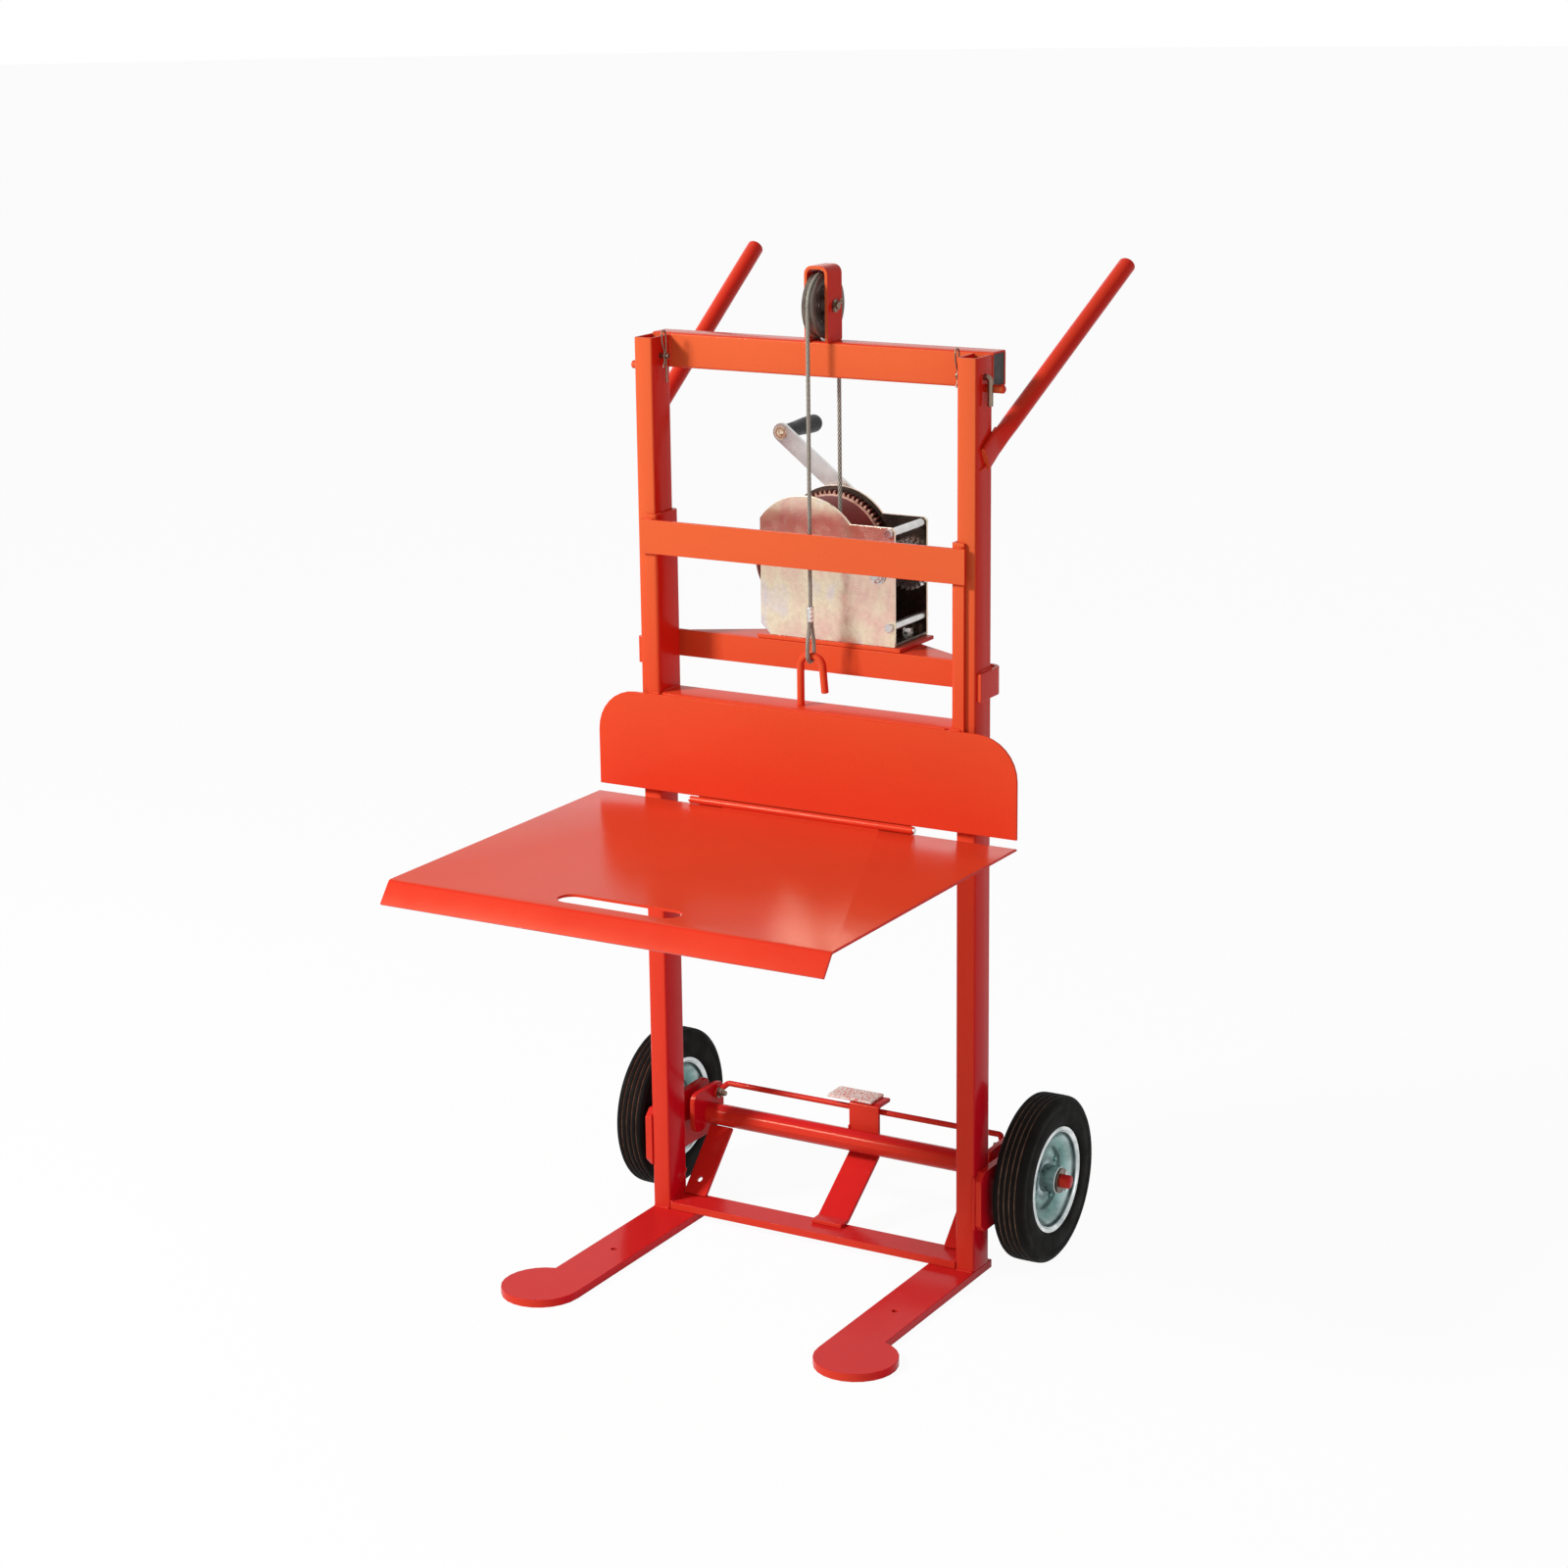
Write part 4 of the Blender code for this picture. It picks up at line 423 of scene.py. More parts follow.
def calculated(tree, operation, *values):
    """The output of one Math node of one or two values."""
    return made_node(tree, "Math", dict(enumerate(values)), operation=operation).outputs[0]


class Recipe:
    """A material being made: nodes are added and joined by name, and the last calls feed the
    shader. Object coordinates carry every pattern, so it keeps its scale in metres."""

    def __init__(self, name, base, metallic, roughness, **more):
        self.material = bpy.data.materials.new(name)
        self.material.use_nodes = True
        self.tree = self.material.node_tree
        self.shader = self.tree.nodes["Principled BSDF"]
        self.shader.inputs["Base Color"].default_value = (*base, 1)
        self.shader.inputs["Metallic"].default_value = metallic
        self.shader.inputs["Roughness"].default_value = roughness
        for key, value in more.items():
            self.shader.inputs[key.replace("_", " ")].default_value = value
        self.place = self.tree.nodes.new("ShaderNodeTexCoord").outputs["Object"]

    def add(self, kind, output, sockets=None, **settings):
        """A node with its settings and its sockets' values or links; gives one output."""
        return made_node(self.tree, kind, sockets or {}, **settings).outputs[output]

    def noise(self, scale, detail=3.0, stretch=(1, 1, 1), rough=0.5):
        """Noise of so many features a metre, stretched along the axes where asked."""
        place = self.add("Mapping", 0, {"Vector": self.place, "Scale": stretch})
        return self.add("TexNoise", 0, {"Vector": place, "Scale": scale, "Detail": detail,
                                        "Roughness": rough})

    def ramp(self, value, *stops):
        """Colour by a value, from stops of (place, colour)."""
        node = self.tree.nodes.new("ShaderNodeValToRGB")
        self.tree.links.new(value, node.inputs[0])
        bar = node.color_ramp
        while len(bar.elements) < len(stops):
            bar.elements.new(0.5)
        for element, (at, tone) in zip(bar.elements, stops):
            element.position = at
            element.color = (*tone, 1) if len(tone) == 3 else tone
        return node.outputs[0]

    def range(self, value, low, high, out_low, out_high):
        """A value moved from one range to another and held there."""
        return self.add("MapRange", 0, {0: value, 1: low, 2: high, 3: out_low, 4: out_high})

    def mixed(self, share, a, b, blend="MIX"):
        """Colour a and b by a share."""
        return self.add("Mix", 2, {0: share, 6: a, 7: b}, data_type="RGBA", blend_type=blend)

    def along(self, axis):
        """The place along X, Y or Z, in metres."""
        return self.add("SeparateXYZ", axis, {0: self.place})

    def facing(self, axis):
        """The part of the surface's direction along X, Y or Z, from -1 to 1."""
        return self.add("SeparateXYZ", axis, {0: self.add("TexCoord", "Normal")})

    def calc(self, operation, *values):
        """One Math node of one or two values."""
        return calculated(self.tree, operation, *values)

    def feed(self, socket, value):
        self.tree.links.new(value, self.shader.inputs[socket])

    def bump(self, *layers):
        """Bumps over one another, each (height value, strength, depth in metres)."""
        normal = None
        for value, strength, depth in layers:
            sockets = {"Height": value, "Strength": strength, "Distance": depth}
            if normal is not None:
                sockets["Normal"] = normal
            normal = self.add("Bump", 0, sockets)
        self.feed("Normal", normal)

    def radius(self, centre, across):
        """Distance in metres from an axis through a centre, measured along the two axes where
        across is 1."""
        place = self.add("VectorMath", 0, {0: self.place, 1: centre}, operation="SUBTRACT")
        flat = self.add("VectorMath", 0, {0: place, 1: across}, operation="MULTIPLY")
        return self.add("VectorMath", "Value", {0: flat}, operation="LENGTH")


def enamel():
    """Glossy enamel with orange peel and slow changes of depth. Its tone also goes from crimson
    near the floor to orange on faces that look to the front or up. That tint copies the light in
    the photograph and is no property of the paint. Its specular level is low, because mirrored
    rays see the surround as plain white."""
    c = colours()
    m = Recipe("Red enamel", c.enamel, 0.0, 0.22, Coat_Weight=0.03, Coat_Roughness=0.06,
               Specular_IOR_Level=0.07, Specular_Tint=(1.0, 0.62, 0.36, 1.0))
    slow = m.noise(5.0, 2.0)
    tone = m.ramp(slow, (0.35, c.enamel), (0.75, c.enamel_deep))
    height = m.along("Z")
    full = m.calc("MULTIPLY", m.range(m.facing("Y"), -0.95, -0.35, 1.0, 0.0),
                  m.range(height, 0.70, 1.05, 0.35, 1.0))
    top = m.calc("MULTIPLY", m.range(m.facing("Z"), 0.80, 0.95, 0.0, 1.0),
                 m.range(height, 0.30, 0.60, 0.12, 0.42))
    tone = m.mixed(m.range(height, 0.25, 0.75, 0.9, 0.0), tone, (*c.enamel_low, 1))
    tone = m.mixed(m.calc("MAXIMUM", full, top), tone, (*c.enamel_front, 1))
    speck = m.ramp(m.noise(900.0, 1.0), (0.27, (0.45, 0.02, 0.01)), (0.33, (1, 1, 1)))
    m.feed("Base Color", m.mixed(0.35, tone, m.mixed(1.0, tone, speck, "MULTIPLY")))
    m.feed("Roughness", m.range(m.noise(24.0), 0.3, 0.7, 0.17, 0.23))
    m.bump((m.noise(300.0, 2.0), 0.06, 0.0004), (m.noise(20.0, 1.0), 0.03, 0.002))
    return m.material


def drum_paint():
    """Dark red-brown paint, paler at the flanges' rims and on the front flange's bead."""
    c = colours()
    m = Recipe("Drum paint", c.drum, 0.0, 0.38, Specular_IOR_Level=0.18)
    r = m.radius((DRUM[0], 0.0, DRUM[2]), (1.0, 0.0, 1.0))
    y = m.along("Y")
    front = m.range(y, REAR + 0.090, REAR + 0.091, 1.0, 0.0)
    rear = m.range(y, REAR + 0.1625, REAR + 0.1630, 1.0, 0.0)
    rims = [m.calc("MULTIPLY", m.range(r, low, low + 0.001, 0.0, 1.0), side)
            for low, side in ((0.0850, front), (0.0800, rear))]
    bead = m.calc("MULTIPLY", m.range(y, REAR + 0.0810, REAR + 0.0815, 1.0, 0.0),
                  m.range(r, 0.060, 0.061, 0.0, 1.0))
    rim = m.calc("MAXIMUM", m.calc("MAXIMUM", rims[0], m.calc("SUBTRACT", rims[1], front)), bead)
    # Painted highlight on the flange rims and the bead, patchy.
    worn = m.calc("MULTIPLY", rim, m.range(m.noise(120.0), 0.32, 0.6, 0.45, 1.0))
    m.feed("Base Color", m.mixed(worn, m.ramp(m.noise(30.0), (0.3, c.drum),
                                              (0.8, tuple(v * 1.5 for v in c.drum))),
                                 (*c.drum_rim_highlight, 1)))
    m.bump((m.noise(300.0), 0.12, 0.0006))
    return m.material


def plated(name, tone, roughness, drift=0.10):
    """Bright plating: a cloudy sheen with fine rubbing marks."""
    m = Recipe(name, tone, 0.92, roughness)
    dark = tuple(v * (1 - 2.5 * drift) for v in tone)
    m.feed("Base Color", m.ramp(m.noise(38.0, 4.0), (0.3, dark), (0.7, tone)))
    m.feed("Roughness", m.range(m.noise(90.0), 0.3, 0.7, roughness * 0.8, roughness * 1.25))
    m.bump((m.noise(500.0, 3.0, (1, 0.15, 1)), 0.03, 0.0003))
    return m.material


def yellow_zinc():
    """Yellow passivated zinc: cream, rose and lilac clouds that run into one another, and a
    dark tone between the winch's cheeks, where the photograph is nearly black."""
    c = colours()
    m = Recipe("Yellow passivated zinc", c.cream, 0.84, 0.26)
    clouds = m.ramp(m.noise(11.0, 3.0, (1, 1, 0.7), 0.6), (0.30, c.lilac), (0.42, c.cream),
                    (0.55, c.rose), (0.66, c.cream), (0.80, (0.66, 0.74, 0.58)))
    fine = m.ramp(m.noise(150.0, 4.0), (0.3, (0.86, 0.84, 0.82)), (0.7, (1, 1, 1)))
    plate = m.mixed(0.8, clouds, m.mixed(1.0, clouds, fine, "MULTIPLY"))
    y = m.along("Y")
    inside = m.calc("MULTIPLY", m.range(y, REAR + 0.0790, REAR + 0.0799, 0.0, 1.0),
                    m.range(y, REAR + 0.1741, REAR + 0.1750, 1.0, 0.0))
    # Painted shade between the winch's cheeks, a little uneven.
    inner_shade = m.calc("MULTIPLY", inside, m.range(m.noise(40.0), 0.3, 0.7, 0.80, 0.95))
    m.feed("Base Color", m.mixed(inner_shade, plate, (*c.inner_shade, 1)))
    m.feed("Roughness", m.range(m.noise(60.0), 0.3, 0.7, 0.20, 0.30))
    m.bump((m.noise(420.0, 2.0), 0.03, 0.0003))
    return m.material


def rim_zinc():
    """Plated pressed steel of the wheel: pale at the bead, blue-green down in the dish, with
    dark bands by the hub, at the disc's edge and under the bead."""
    c = colours()
    m = Recipe("Rim plating", c.rim_pale, 0.88, 0.20)
    r = m.radius((0.0, AXLE[1], AXLE[2]), (0.0, 1.0, 1.0))
    # Painted reflections and dark bands, laid by radius across the rim.
    tone = m.ramp(m.range(r, 0.018, 0.082, 0.0, 1.0), (0.0, (0.50, 0.50, 0.46)),
                  (0.06, (0.42, 0.52, 0.56)), (0.16, (0.10, 0.17, 0.17)), (0.30, c.rim_dish_reflection),
                  (0.44, (0.12, 0.21, 0.20)), (0.66, c.rim_dish_reflection), (0.78, (0.40, 0.50, 0.49)),
                  (0.815, (0.07, 0.10, 0.10)), (0.85, c.rim_pale), (1.0, c.rim_pale))
    cloud = m.ramp(m.noise(26.0, 3.0, (1, 1, 1), 0.6), (0.34, (0.46, 0.52, 0.52)),
                   (0.62, (1, 1, 1)))
    m.feed("Base Color", m.mixed(1.0, tone, cloud, "MULTIPLY"))
    m.feed("Roughness", m.range(m.noise(140.0), 0.3, 0.7, 0.14, 0.26))
    m.bump((m.noise(300.0, 2.0), 0.05, 0.0004))
    return m.material


def rubber():
    """Solid rubber: fine grain, brown dust where the grooves run."""
    c = colours()
    m = Recipe("Tyre rubber", c.rubber, 0.0, 0.62, Specular_IOR_Level=0.07)
    r = m.radius((0.0, AXLE[1], AXLE[2]), (0.0, 1.0, 1.0))
    low = m.calc("MULTIPLY", m.range(r, 0.1222, 0.1236, 1.0, 0.0),
                 m.range(r, 0.1185, 0.1190, 0.0, 1.0))
    from_middle = m.calc("ABSOLUTE", m.calc("SUBTRACT", m.calc("ABSOLUTE", m.along("X")), WHEEL))
    dust = m.calc("MULTIPLY", low, m.range(from_middle, 0.0170, 0.0178, 1.0, 0.0))
    patchy = m.calc("MULTIPLY", dust, m.range(m.noise(70.0), 0.3, 0.65, 0.55, 1.0))
    m.feed("Base Color", m.mixed(patchy, (*c.rubber, 1), (*c.rubber_dust, 1)))
    m.feed("Roughness", m.range(m.noise(45.0), 0.3, 0.7, 0.62, 0.80))
    m.bump((m.noise(700.0, 2.0), 0.12, 0.0004), (m.noise(60.0, 2.0), 0.05, 0.001))
    return m.material


def plastic():
    """Moulded black plastic with a fine spark-eroded grain."""
    m = Recipe("Black plastic", colours().plastic, 0.0, 0.38, Specular_IOR_Level=0.25)
    m.feed("Roughness", m.range(m.noise(80.0), 0.3, 0.7, 0.3, 0.48))
    m.bump((m.noise(1100.0, 1.0), 0.15, 0.0003))
    return m.material


def rope_wire():
    """Drawn wire of the rope's strands, dark with grease between them, from the depth that is
    kept on the rope's points."""
    c = colours()
    m = Recipe("Rope wire", c.rope, 0.2, 0.5, Specular_IOR_Level=0.2)
    deep = m.range(m.add("Attribute", "Fac", attribute_name="depth"), 0.45, 0.90, 0.0, 1.0)
    # Painted shade in the grooves between the strands.
    tone = m.mixed(deep, (*c.rope_dark, 1), (*c.rope, 1))
    fine = m.ramp(m.noise(600.0), (0.3, (0.72, 0.72, 0.72)), (0.7, (1, 1, 1)))
    m.feed("Base Color", m.mixed(1.0, tone, fine, "MULTIPLY"))
    m.bump((m.noise(2500.0, 1.0), 0.2, 0.0002))
    return m.material


def cast_iron():
    """Machined and greased cast iron."""
    c = colours()
    m = Recipe("Sheave iron", c.iron, 0.7, 0.4)
    m.feed("Base Color", m.ramp(m.noise(45.0, 4.0), (0.3, tuple(v * 0.5 for v in c.iron)),
                                (0.75, c.iron)))
    m.bump((m.noise(420.0, 3.0), 0.2, 0.0005))
    return m.material


def step_metal():
    """The step's pale plate, with red specks and brighter patches."""
    c = colours()
    m = Recipe("Step plate", c.tread, 0.2, 0.45)
    m.feed("Base Color", m.ramp(m.noise(260.0, 3.0), (0.36, c.enamel), (0.44, c.tread),
                                (0.62, (0.86, 0.80, 0.76))))
    m.bump((m.noise(400.0, 2.0), 0.2, 0.0005))
    return m.material


FINISHES = {
    "red_paint": enamel,
    "drum_paint": drum_paint,
    "zinc": lambda: plated("Bright zinc", colours().zinc, 0.30),
    "rim_zinc": rim_zinc,
    "yellow_zinc": yellow_zinc,
    "spring_steel": lambda: plated("Spring wire", colours().bronze, 0.26, 0.06),
    "cast_iron": cast_iron,
    "tread_plate": step_metal,
    "black_plastic": plastic,
    "rubber": rubber,
    "rope": rope_wire,
}
MADE = {}


def finish(slot):
    """The one material of a slot, made at its first use."""
    if slot not in MADE:
        MADE[slot] = FINISHES[slot]()
    return MADE[slot]


# Places that the pieces share, in metres. The uprights' front faces are the zero of Y here.


def at(x, y, z):
    """A point measured from the uprights' front faces, in the frame of the CAD."""
    return np.array((x, y + REAR, z))


def ats(points):
    return [at(*p) for p in points]


AXLE = at(0, 0.132, 0.125)
WHEEL = 0.323  # the wheels' middle planes, left and right of the truck's
WRAP = 0.038  # radius of the rope's middle line on the drum
DRUM = at(-WRAP, 0, 1.030)
PINION = at(0.081398, 0, 1.018)
TIP = PINION + 0.285 * np.array((math.cos(math.radians(142.6)), 0,
                                 math.sin(math.radians(142.6))))
ALONG_X = (1, 0, 0)
ALONG_Y = (0, 1, 0)
ALONG_Z = (0, 0, 1)
ROPE = 0.003  # radius, as are the handle's and the sheave's
SHEAVE = at(0, 0.067, 1.400)
SHEAVE_PITCH = 0.045
HOOK_CREST = 0.903
HANDLE = 0.01275

PAINTED = ("mast_left", "mast_right", "top_crossbar", "pulley_bracket", "shelf_hoop",
           "shelf_plate", "winch_pad", "carriage_rail_left", "carriage_rail_right",
           "carriage_upper_bar", "back_plate", "carriage_lower_angle", "platform",
           "foot_left", "foot_right", "strut_left", "strut_right", "base_bar",
           "axle_tube", "axle_bracket_left", "axle_bracket_right", "step_strap")


def dress_frame():
    """The welded frame, the carriage's plates and the platform, their edges rounded."""
    for node in PAINTED:
        dressed(node, "red_paint")
    for node in ("end_plug_left", "end_plug_right"):
        dressed(node, "black_plastic", 0.0006)


def build_handles():
    """Push handles: a tube flattened at its foot. A ring at a length s has half widths that go
    from flat to round by 3q^2 - 2q^3 over the crease, and a corner power from box to circle."""
    foot, tip = at(0, 0.022, 1.2075), at(0, 0.412, 1.436)
    length = np.linalg.norm(tip - foot)
    ahead = unit(tip - foot)
    upward = np.array((0, -ahead[2], ahead[1]))
    flat_length, crease, flat = 0.034, 0.048, 0.007
    flat_half = (math.pi * HANDLE * 2 - math.pi * flat) / 4 + flat / 2
    s = np.concatenate([[0, 0], np.linspace(0, flat_length, 5)[1:],
                        flat_length + np.linspace(0, crease, 17)[1:],
                        np.linspace(flat_length + crease, length - 0.0022, 14)[1:],
                        length - 0.0022 + 0.0022 * np.sin(np.linspace(0, np.pi / 2, 6))[1:],
                        [length, length - 0.0008, length - 0.0008]])
    q = np.clip((s - flat_length) / crease, 0, 1)
    q = q * q * (3 - 2 * q)
    shrink = np.ones(len(s))
    shrink[0] = 0
    edge = len(s) - 8
    shrink[edge:edge + 5] = 1 - 0.17 * (1 - np.cos(np.linspace(0, np.pi / 2, 6)[1:]))
    shrink[-3:] = (0.76, 0.72, 0)
    half_x = (flat / 2 + (HANDLE - flat / 2) * q) * shrink
    half_z = (flat_half + (HANDLE - flat_half) * q) * shrink
    power = (0.4 + 0.6 * q)[:, None]
    t = np.linspace(0, 2 * np.pi, 48, endpoint=False)
    wide = np.sign(np.cos(t)) * np.abs(np.cos(t)) ** power
    foot_x = 0.2753 + flat / 2
    x = foot_x + (0.3115 - foot_x) * np.clip(s - flat_length, 0, None) / (length - flat_length)
    for word, side in SIDES:
        centre = foot + s[:, None] * ahead
        centre[:, 0] = side * x
        points = centre[:, None] + (half_z[:, None] * np.sin(t))[..., None] * upward
        points[..., 0] += half_x[:, None] * wide
        shell = points.reshape(-1, 3), grid_faces(len(s), 48, False, True)
        piece(f"handle_{word}_tube", shell, "mast", "red_paint", (f"handle_{word}",))


def split_pin(centre, axis, across, reach=0.013, wire=0.0011):
    """A split pin through a round end: two legs side by side, opened at the far end, and an
    eye at the near end. It stands along the axis, and its eye lies across."""
    n, w = unit(axis), unit(across)
    c = np.asarray(centre, float)
    t = np.linspace(-0.8, np.pi + 0.8, 15)
    eye = [c + n * (reach + 0.0028 + 0.0027 * math.sin(a)) + w * 0.0027 * math.cos(a)
           for a in t]
    legs = [[c + n * reach - w * 0.0008 * s, c - n * (reach * 0.95) - w * 0.0008 * s,
             c - n * (reach * 1.15) - w * 0.0045 * s] for s in (-1, 1)]
    path = np.array([legs[0][2], legs[0][1], legs[0][0], *eye, legs[1][0], legs[1][1],
                     legs[1][2]])
    return swept(even(bent(path, 0.0006, 3), 0.0016), circle(wire, 8))


def build_pulley():
    """The sheave, turned from its profile, its pin with a head, a washer and a split pin."""
    flank = np.linspace(0, np.pi / 2, 7)
    groove = np.stack([np.sin(flank) * 0.0038, 0.0458 - np.cos(flank) * 0.0042], -1)
    side = np.array([(0.0072, 0.0470), (0.0080, 0.0475), (0.0085, 0.0470), (0.0085, 0.0362),
                     (0.0078, 0.0350), (0.0046, 0.0336), (0.0042, 0.0325), (0.0042, 0.0155),
                     (0.0050, 0.0141), (0.0118, 0.0140), (0.0125, 0.0133), (0.0125, 0.0055)])
    half = np.concatenate([groove, side])
    profile = np.concatenate([half, (half * (-1, 1))[::-1]])
    wheel = turned(profile, SHEAVE, ALONG_X, 96, closed=True)
    holes = [turned([(0.0042, 0.0), (0.0043, 0.0034), (0.0049, 0.0038), (0.0042, 0.0042)],
                    SHEAVE + 0.024 * np.array((0, math.cos(a), math.sin(a))), (s, 0, 0), 20)
             for a in np.radians((30, 102, 174, 246, 318)) for s in (-1, 1)]
    piece("pulley_sheave", joined(wheel, *holes), "pulley", "cast_iron", ("pulley_wheel",), 40)
    shank = turned([(-0.0262, 0), (-0.0262, 0.0065), (-0.0256, 0.0078), (-0.0225, 0.0080),
                    (-0.0192, 0.0078), (-0.0192, 0.005), (0.0252, 0.005), (0.026, 0.0042),
                    (0.026, 0)], SHEAVE, ALONG_X, 40)
    ring = turned([(0.0192, 0.005), (0.0192, 0.0092), (0.0206, 0.0092), (0.0206, 0.005)],
                  SHEAVE, ALONG_X, 40)
    piece("pulley_pin_set", joined(shank, ring), "mast", "spring_steel", ("pulley_pin",))
    cotter = split_pin(SHEAVE + (0.0232, 0, 0), unit((0, 0.9, 0.45)), (0, -0.45, 0.9), 0.0095,
                       0.0010)
    piece("pulley_split_pin", cotter, "mast", "spring_steel")


def laid_rope(path, radius, step=0.0016):
    """A laid rope: a section of six lobes carried along the path and turned by one turn in each
    lay, so radius(s, t) = R (0.74 + 0.26 |cos 3(t - 2 pi s / lay)|^0.7), and its depth, which
    is 0 in the grooves between the strands and 1 on their crowns."""
    path = even(path, step)
    s = np.concatenate([[0], np.cumsum(np.linalg.norm(np.diff(path, axis=0), axis=1))])
    t = np.linspace(0, 2 * np.pi, 36, endpoint=False)
    lobe = np.abs(np.cos(3 * (t[None] - 2 * np.pi * s[:, None] / sizes().rope_lay)))
    r = radius * (0.74 + 0.26 * lobe ** 0.7)
    section = np.stack([r * np.cos(t), r * np.sin(t)], -1)
    depth = np.concatenate([np.zeros((1, 36)), lobe, np.zeros((1, 36))]).ravel()
    return swept(path, section), depth


def rope_piece(name, path, body, replaces):
    """A rope with the depth of its strands kept on its points, for its finish."""
    shell, depth = laid_rope(path, ROPE)
    return piece(name, shell, body, "rope", replaces, 80, values={"depth": depth})


def build_ropes():
    """The hoist rope: front fall, arc over the sheave with the rear fall, wraps and eye. The
    arc is a half circle of the sheave's pitch radius, and the wraps are a helix."""
    down = np.linspace(SHEAVE[2], 0.9753, 60)  # to just inside the ferrule's top
    front = np.stack([np.zeros(60), np.full(60, SHEAVE[1] - SHEAVE_PITCH), down], -1)
    fall = rope_piece("rope_front_fall", front, "", ("rope_front",))
    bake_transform(fall)
    a = np.linspace(np.pi, 0, 60)
    arc = np.stack([a * 0, SHEAVE[1] + SHEAVE_PITCH * np.cos(a),
                    SHEAVE[2] + 0.0003 + SHEAVE_PITCH * np.sin(a)], -1)
    rear = np.concatenate([arc, [(0.0, arc[-1, 1], DRUM[2] + 0.0003)]])
    rope_piece("rope_rear_fall", rear, "mast", ("rope_rear",))
    rope_piece("rope_on_drum", wraps_path(), "drum", ("rope_wraps",))


def wraps_path():
    """The helix of the wraps: it runs from the front flange to where the rear fall leaves."""
    pitch = 2 * ROPE + 0.0002
    first, last = 0.085 + ROPE + 0.0003, 0.112 - 2 * ROPE - 0.0008
    turns = (last - first) / pitch
    t = np.linspace(0, turns, int(turns * 72))
    a = 2 * np.pi * (t - turns)
    return np.stack([DRUM[0] + WRAP * np.cos(a), REAR + first + pitch * t,
                     DRUM[2] + WRAP * np.sin(a)], -1)


def build_hook():
    """The lift hook with its weld, the rope's eye, and the pressed ferrule: an oval section
    along Z, whose half widths dip by a cosine at each of three presses."""
    y = SHEAVE[1] - SHEAVE_PITCH - REAR
    left, right = -0.017, 0.021
    path = bent(ats([(left, y, 0.8283), (left, y, HOOK_CREST), (right - 0.003, y, HOOK_CREST),
                     (right + 0.002, y, 0.850)]), (right - left) / 2 - 0.003, 14)
    piece("lift_hook_rod", rod(even(path, 0.003), 0.0055, 28, 0.0012), "carriage",
          "red_paint", ("lift_hook",))
    s = np.linspace(0, 1, 60)
    z = 0.952 + 0.023 * s  # foot and length of the ferrule
    press = 0.5 - 0.5 * np.cos(np.clip((s * 3.6 - 0.3), 0, 3) * 2 * np.pi)
    end = np.minimum(1, np.minimum(s, 1 - s) / 0.06 * 0.25 + 0.75)
    t = np.linspace(0, 2 * np.pi, 36, endpoint=False)
    half = np.stack([0.0050 * (1 - 0.13 * press) * end, 0.0066 * end], -1)
    section = half[:, None] * np.stack([np.cos(t), np.sin(t)], -1)
    line = np.stack([s * 0, s * 0 + y + REAR, z], -1)
    piece("rope_ferrule", swept(line, section, (1, 0, 0)), "carriage", "zinc", ("ferrule",))
    apart, around = ROPE + 0.0003, 0.0055 + ROPE + 0.0008
    leg = [(apart, 0.9525), (apart, 0.9517), (apart + 0.0005, 0.944),
           (around, HOOK_CREST + 0.018)]
    a = np.pi * (1 + np.linspace(0, 1, 25))
    loop = np.stack([a * 0, y + REAR + around * np.cos(a), HOOK_CREST + around * np.sin(a)], -1)
    eye = np.concatenate([[at(0, y - k, z) for k, z in leg], loop,
                          [at(0, y + k, z) for k, z in reversed(leg)]])
    rope_piece("rope_eye_loop", smooth_line(eye, 0.0015), "carriage", ("rope_eye",))


def smooth_line(points, step):
    """A curve through points: even steps, then a running mean over 5 points, ends kept."""
    path = even(points, step)
    for _ in range(6):
        path[1:-1] = (path[:-2] + path[1:-1] * 2 + path[2:]) / 4
    return path


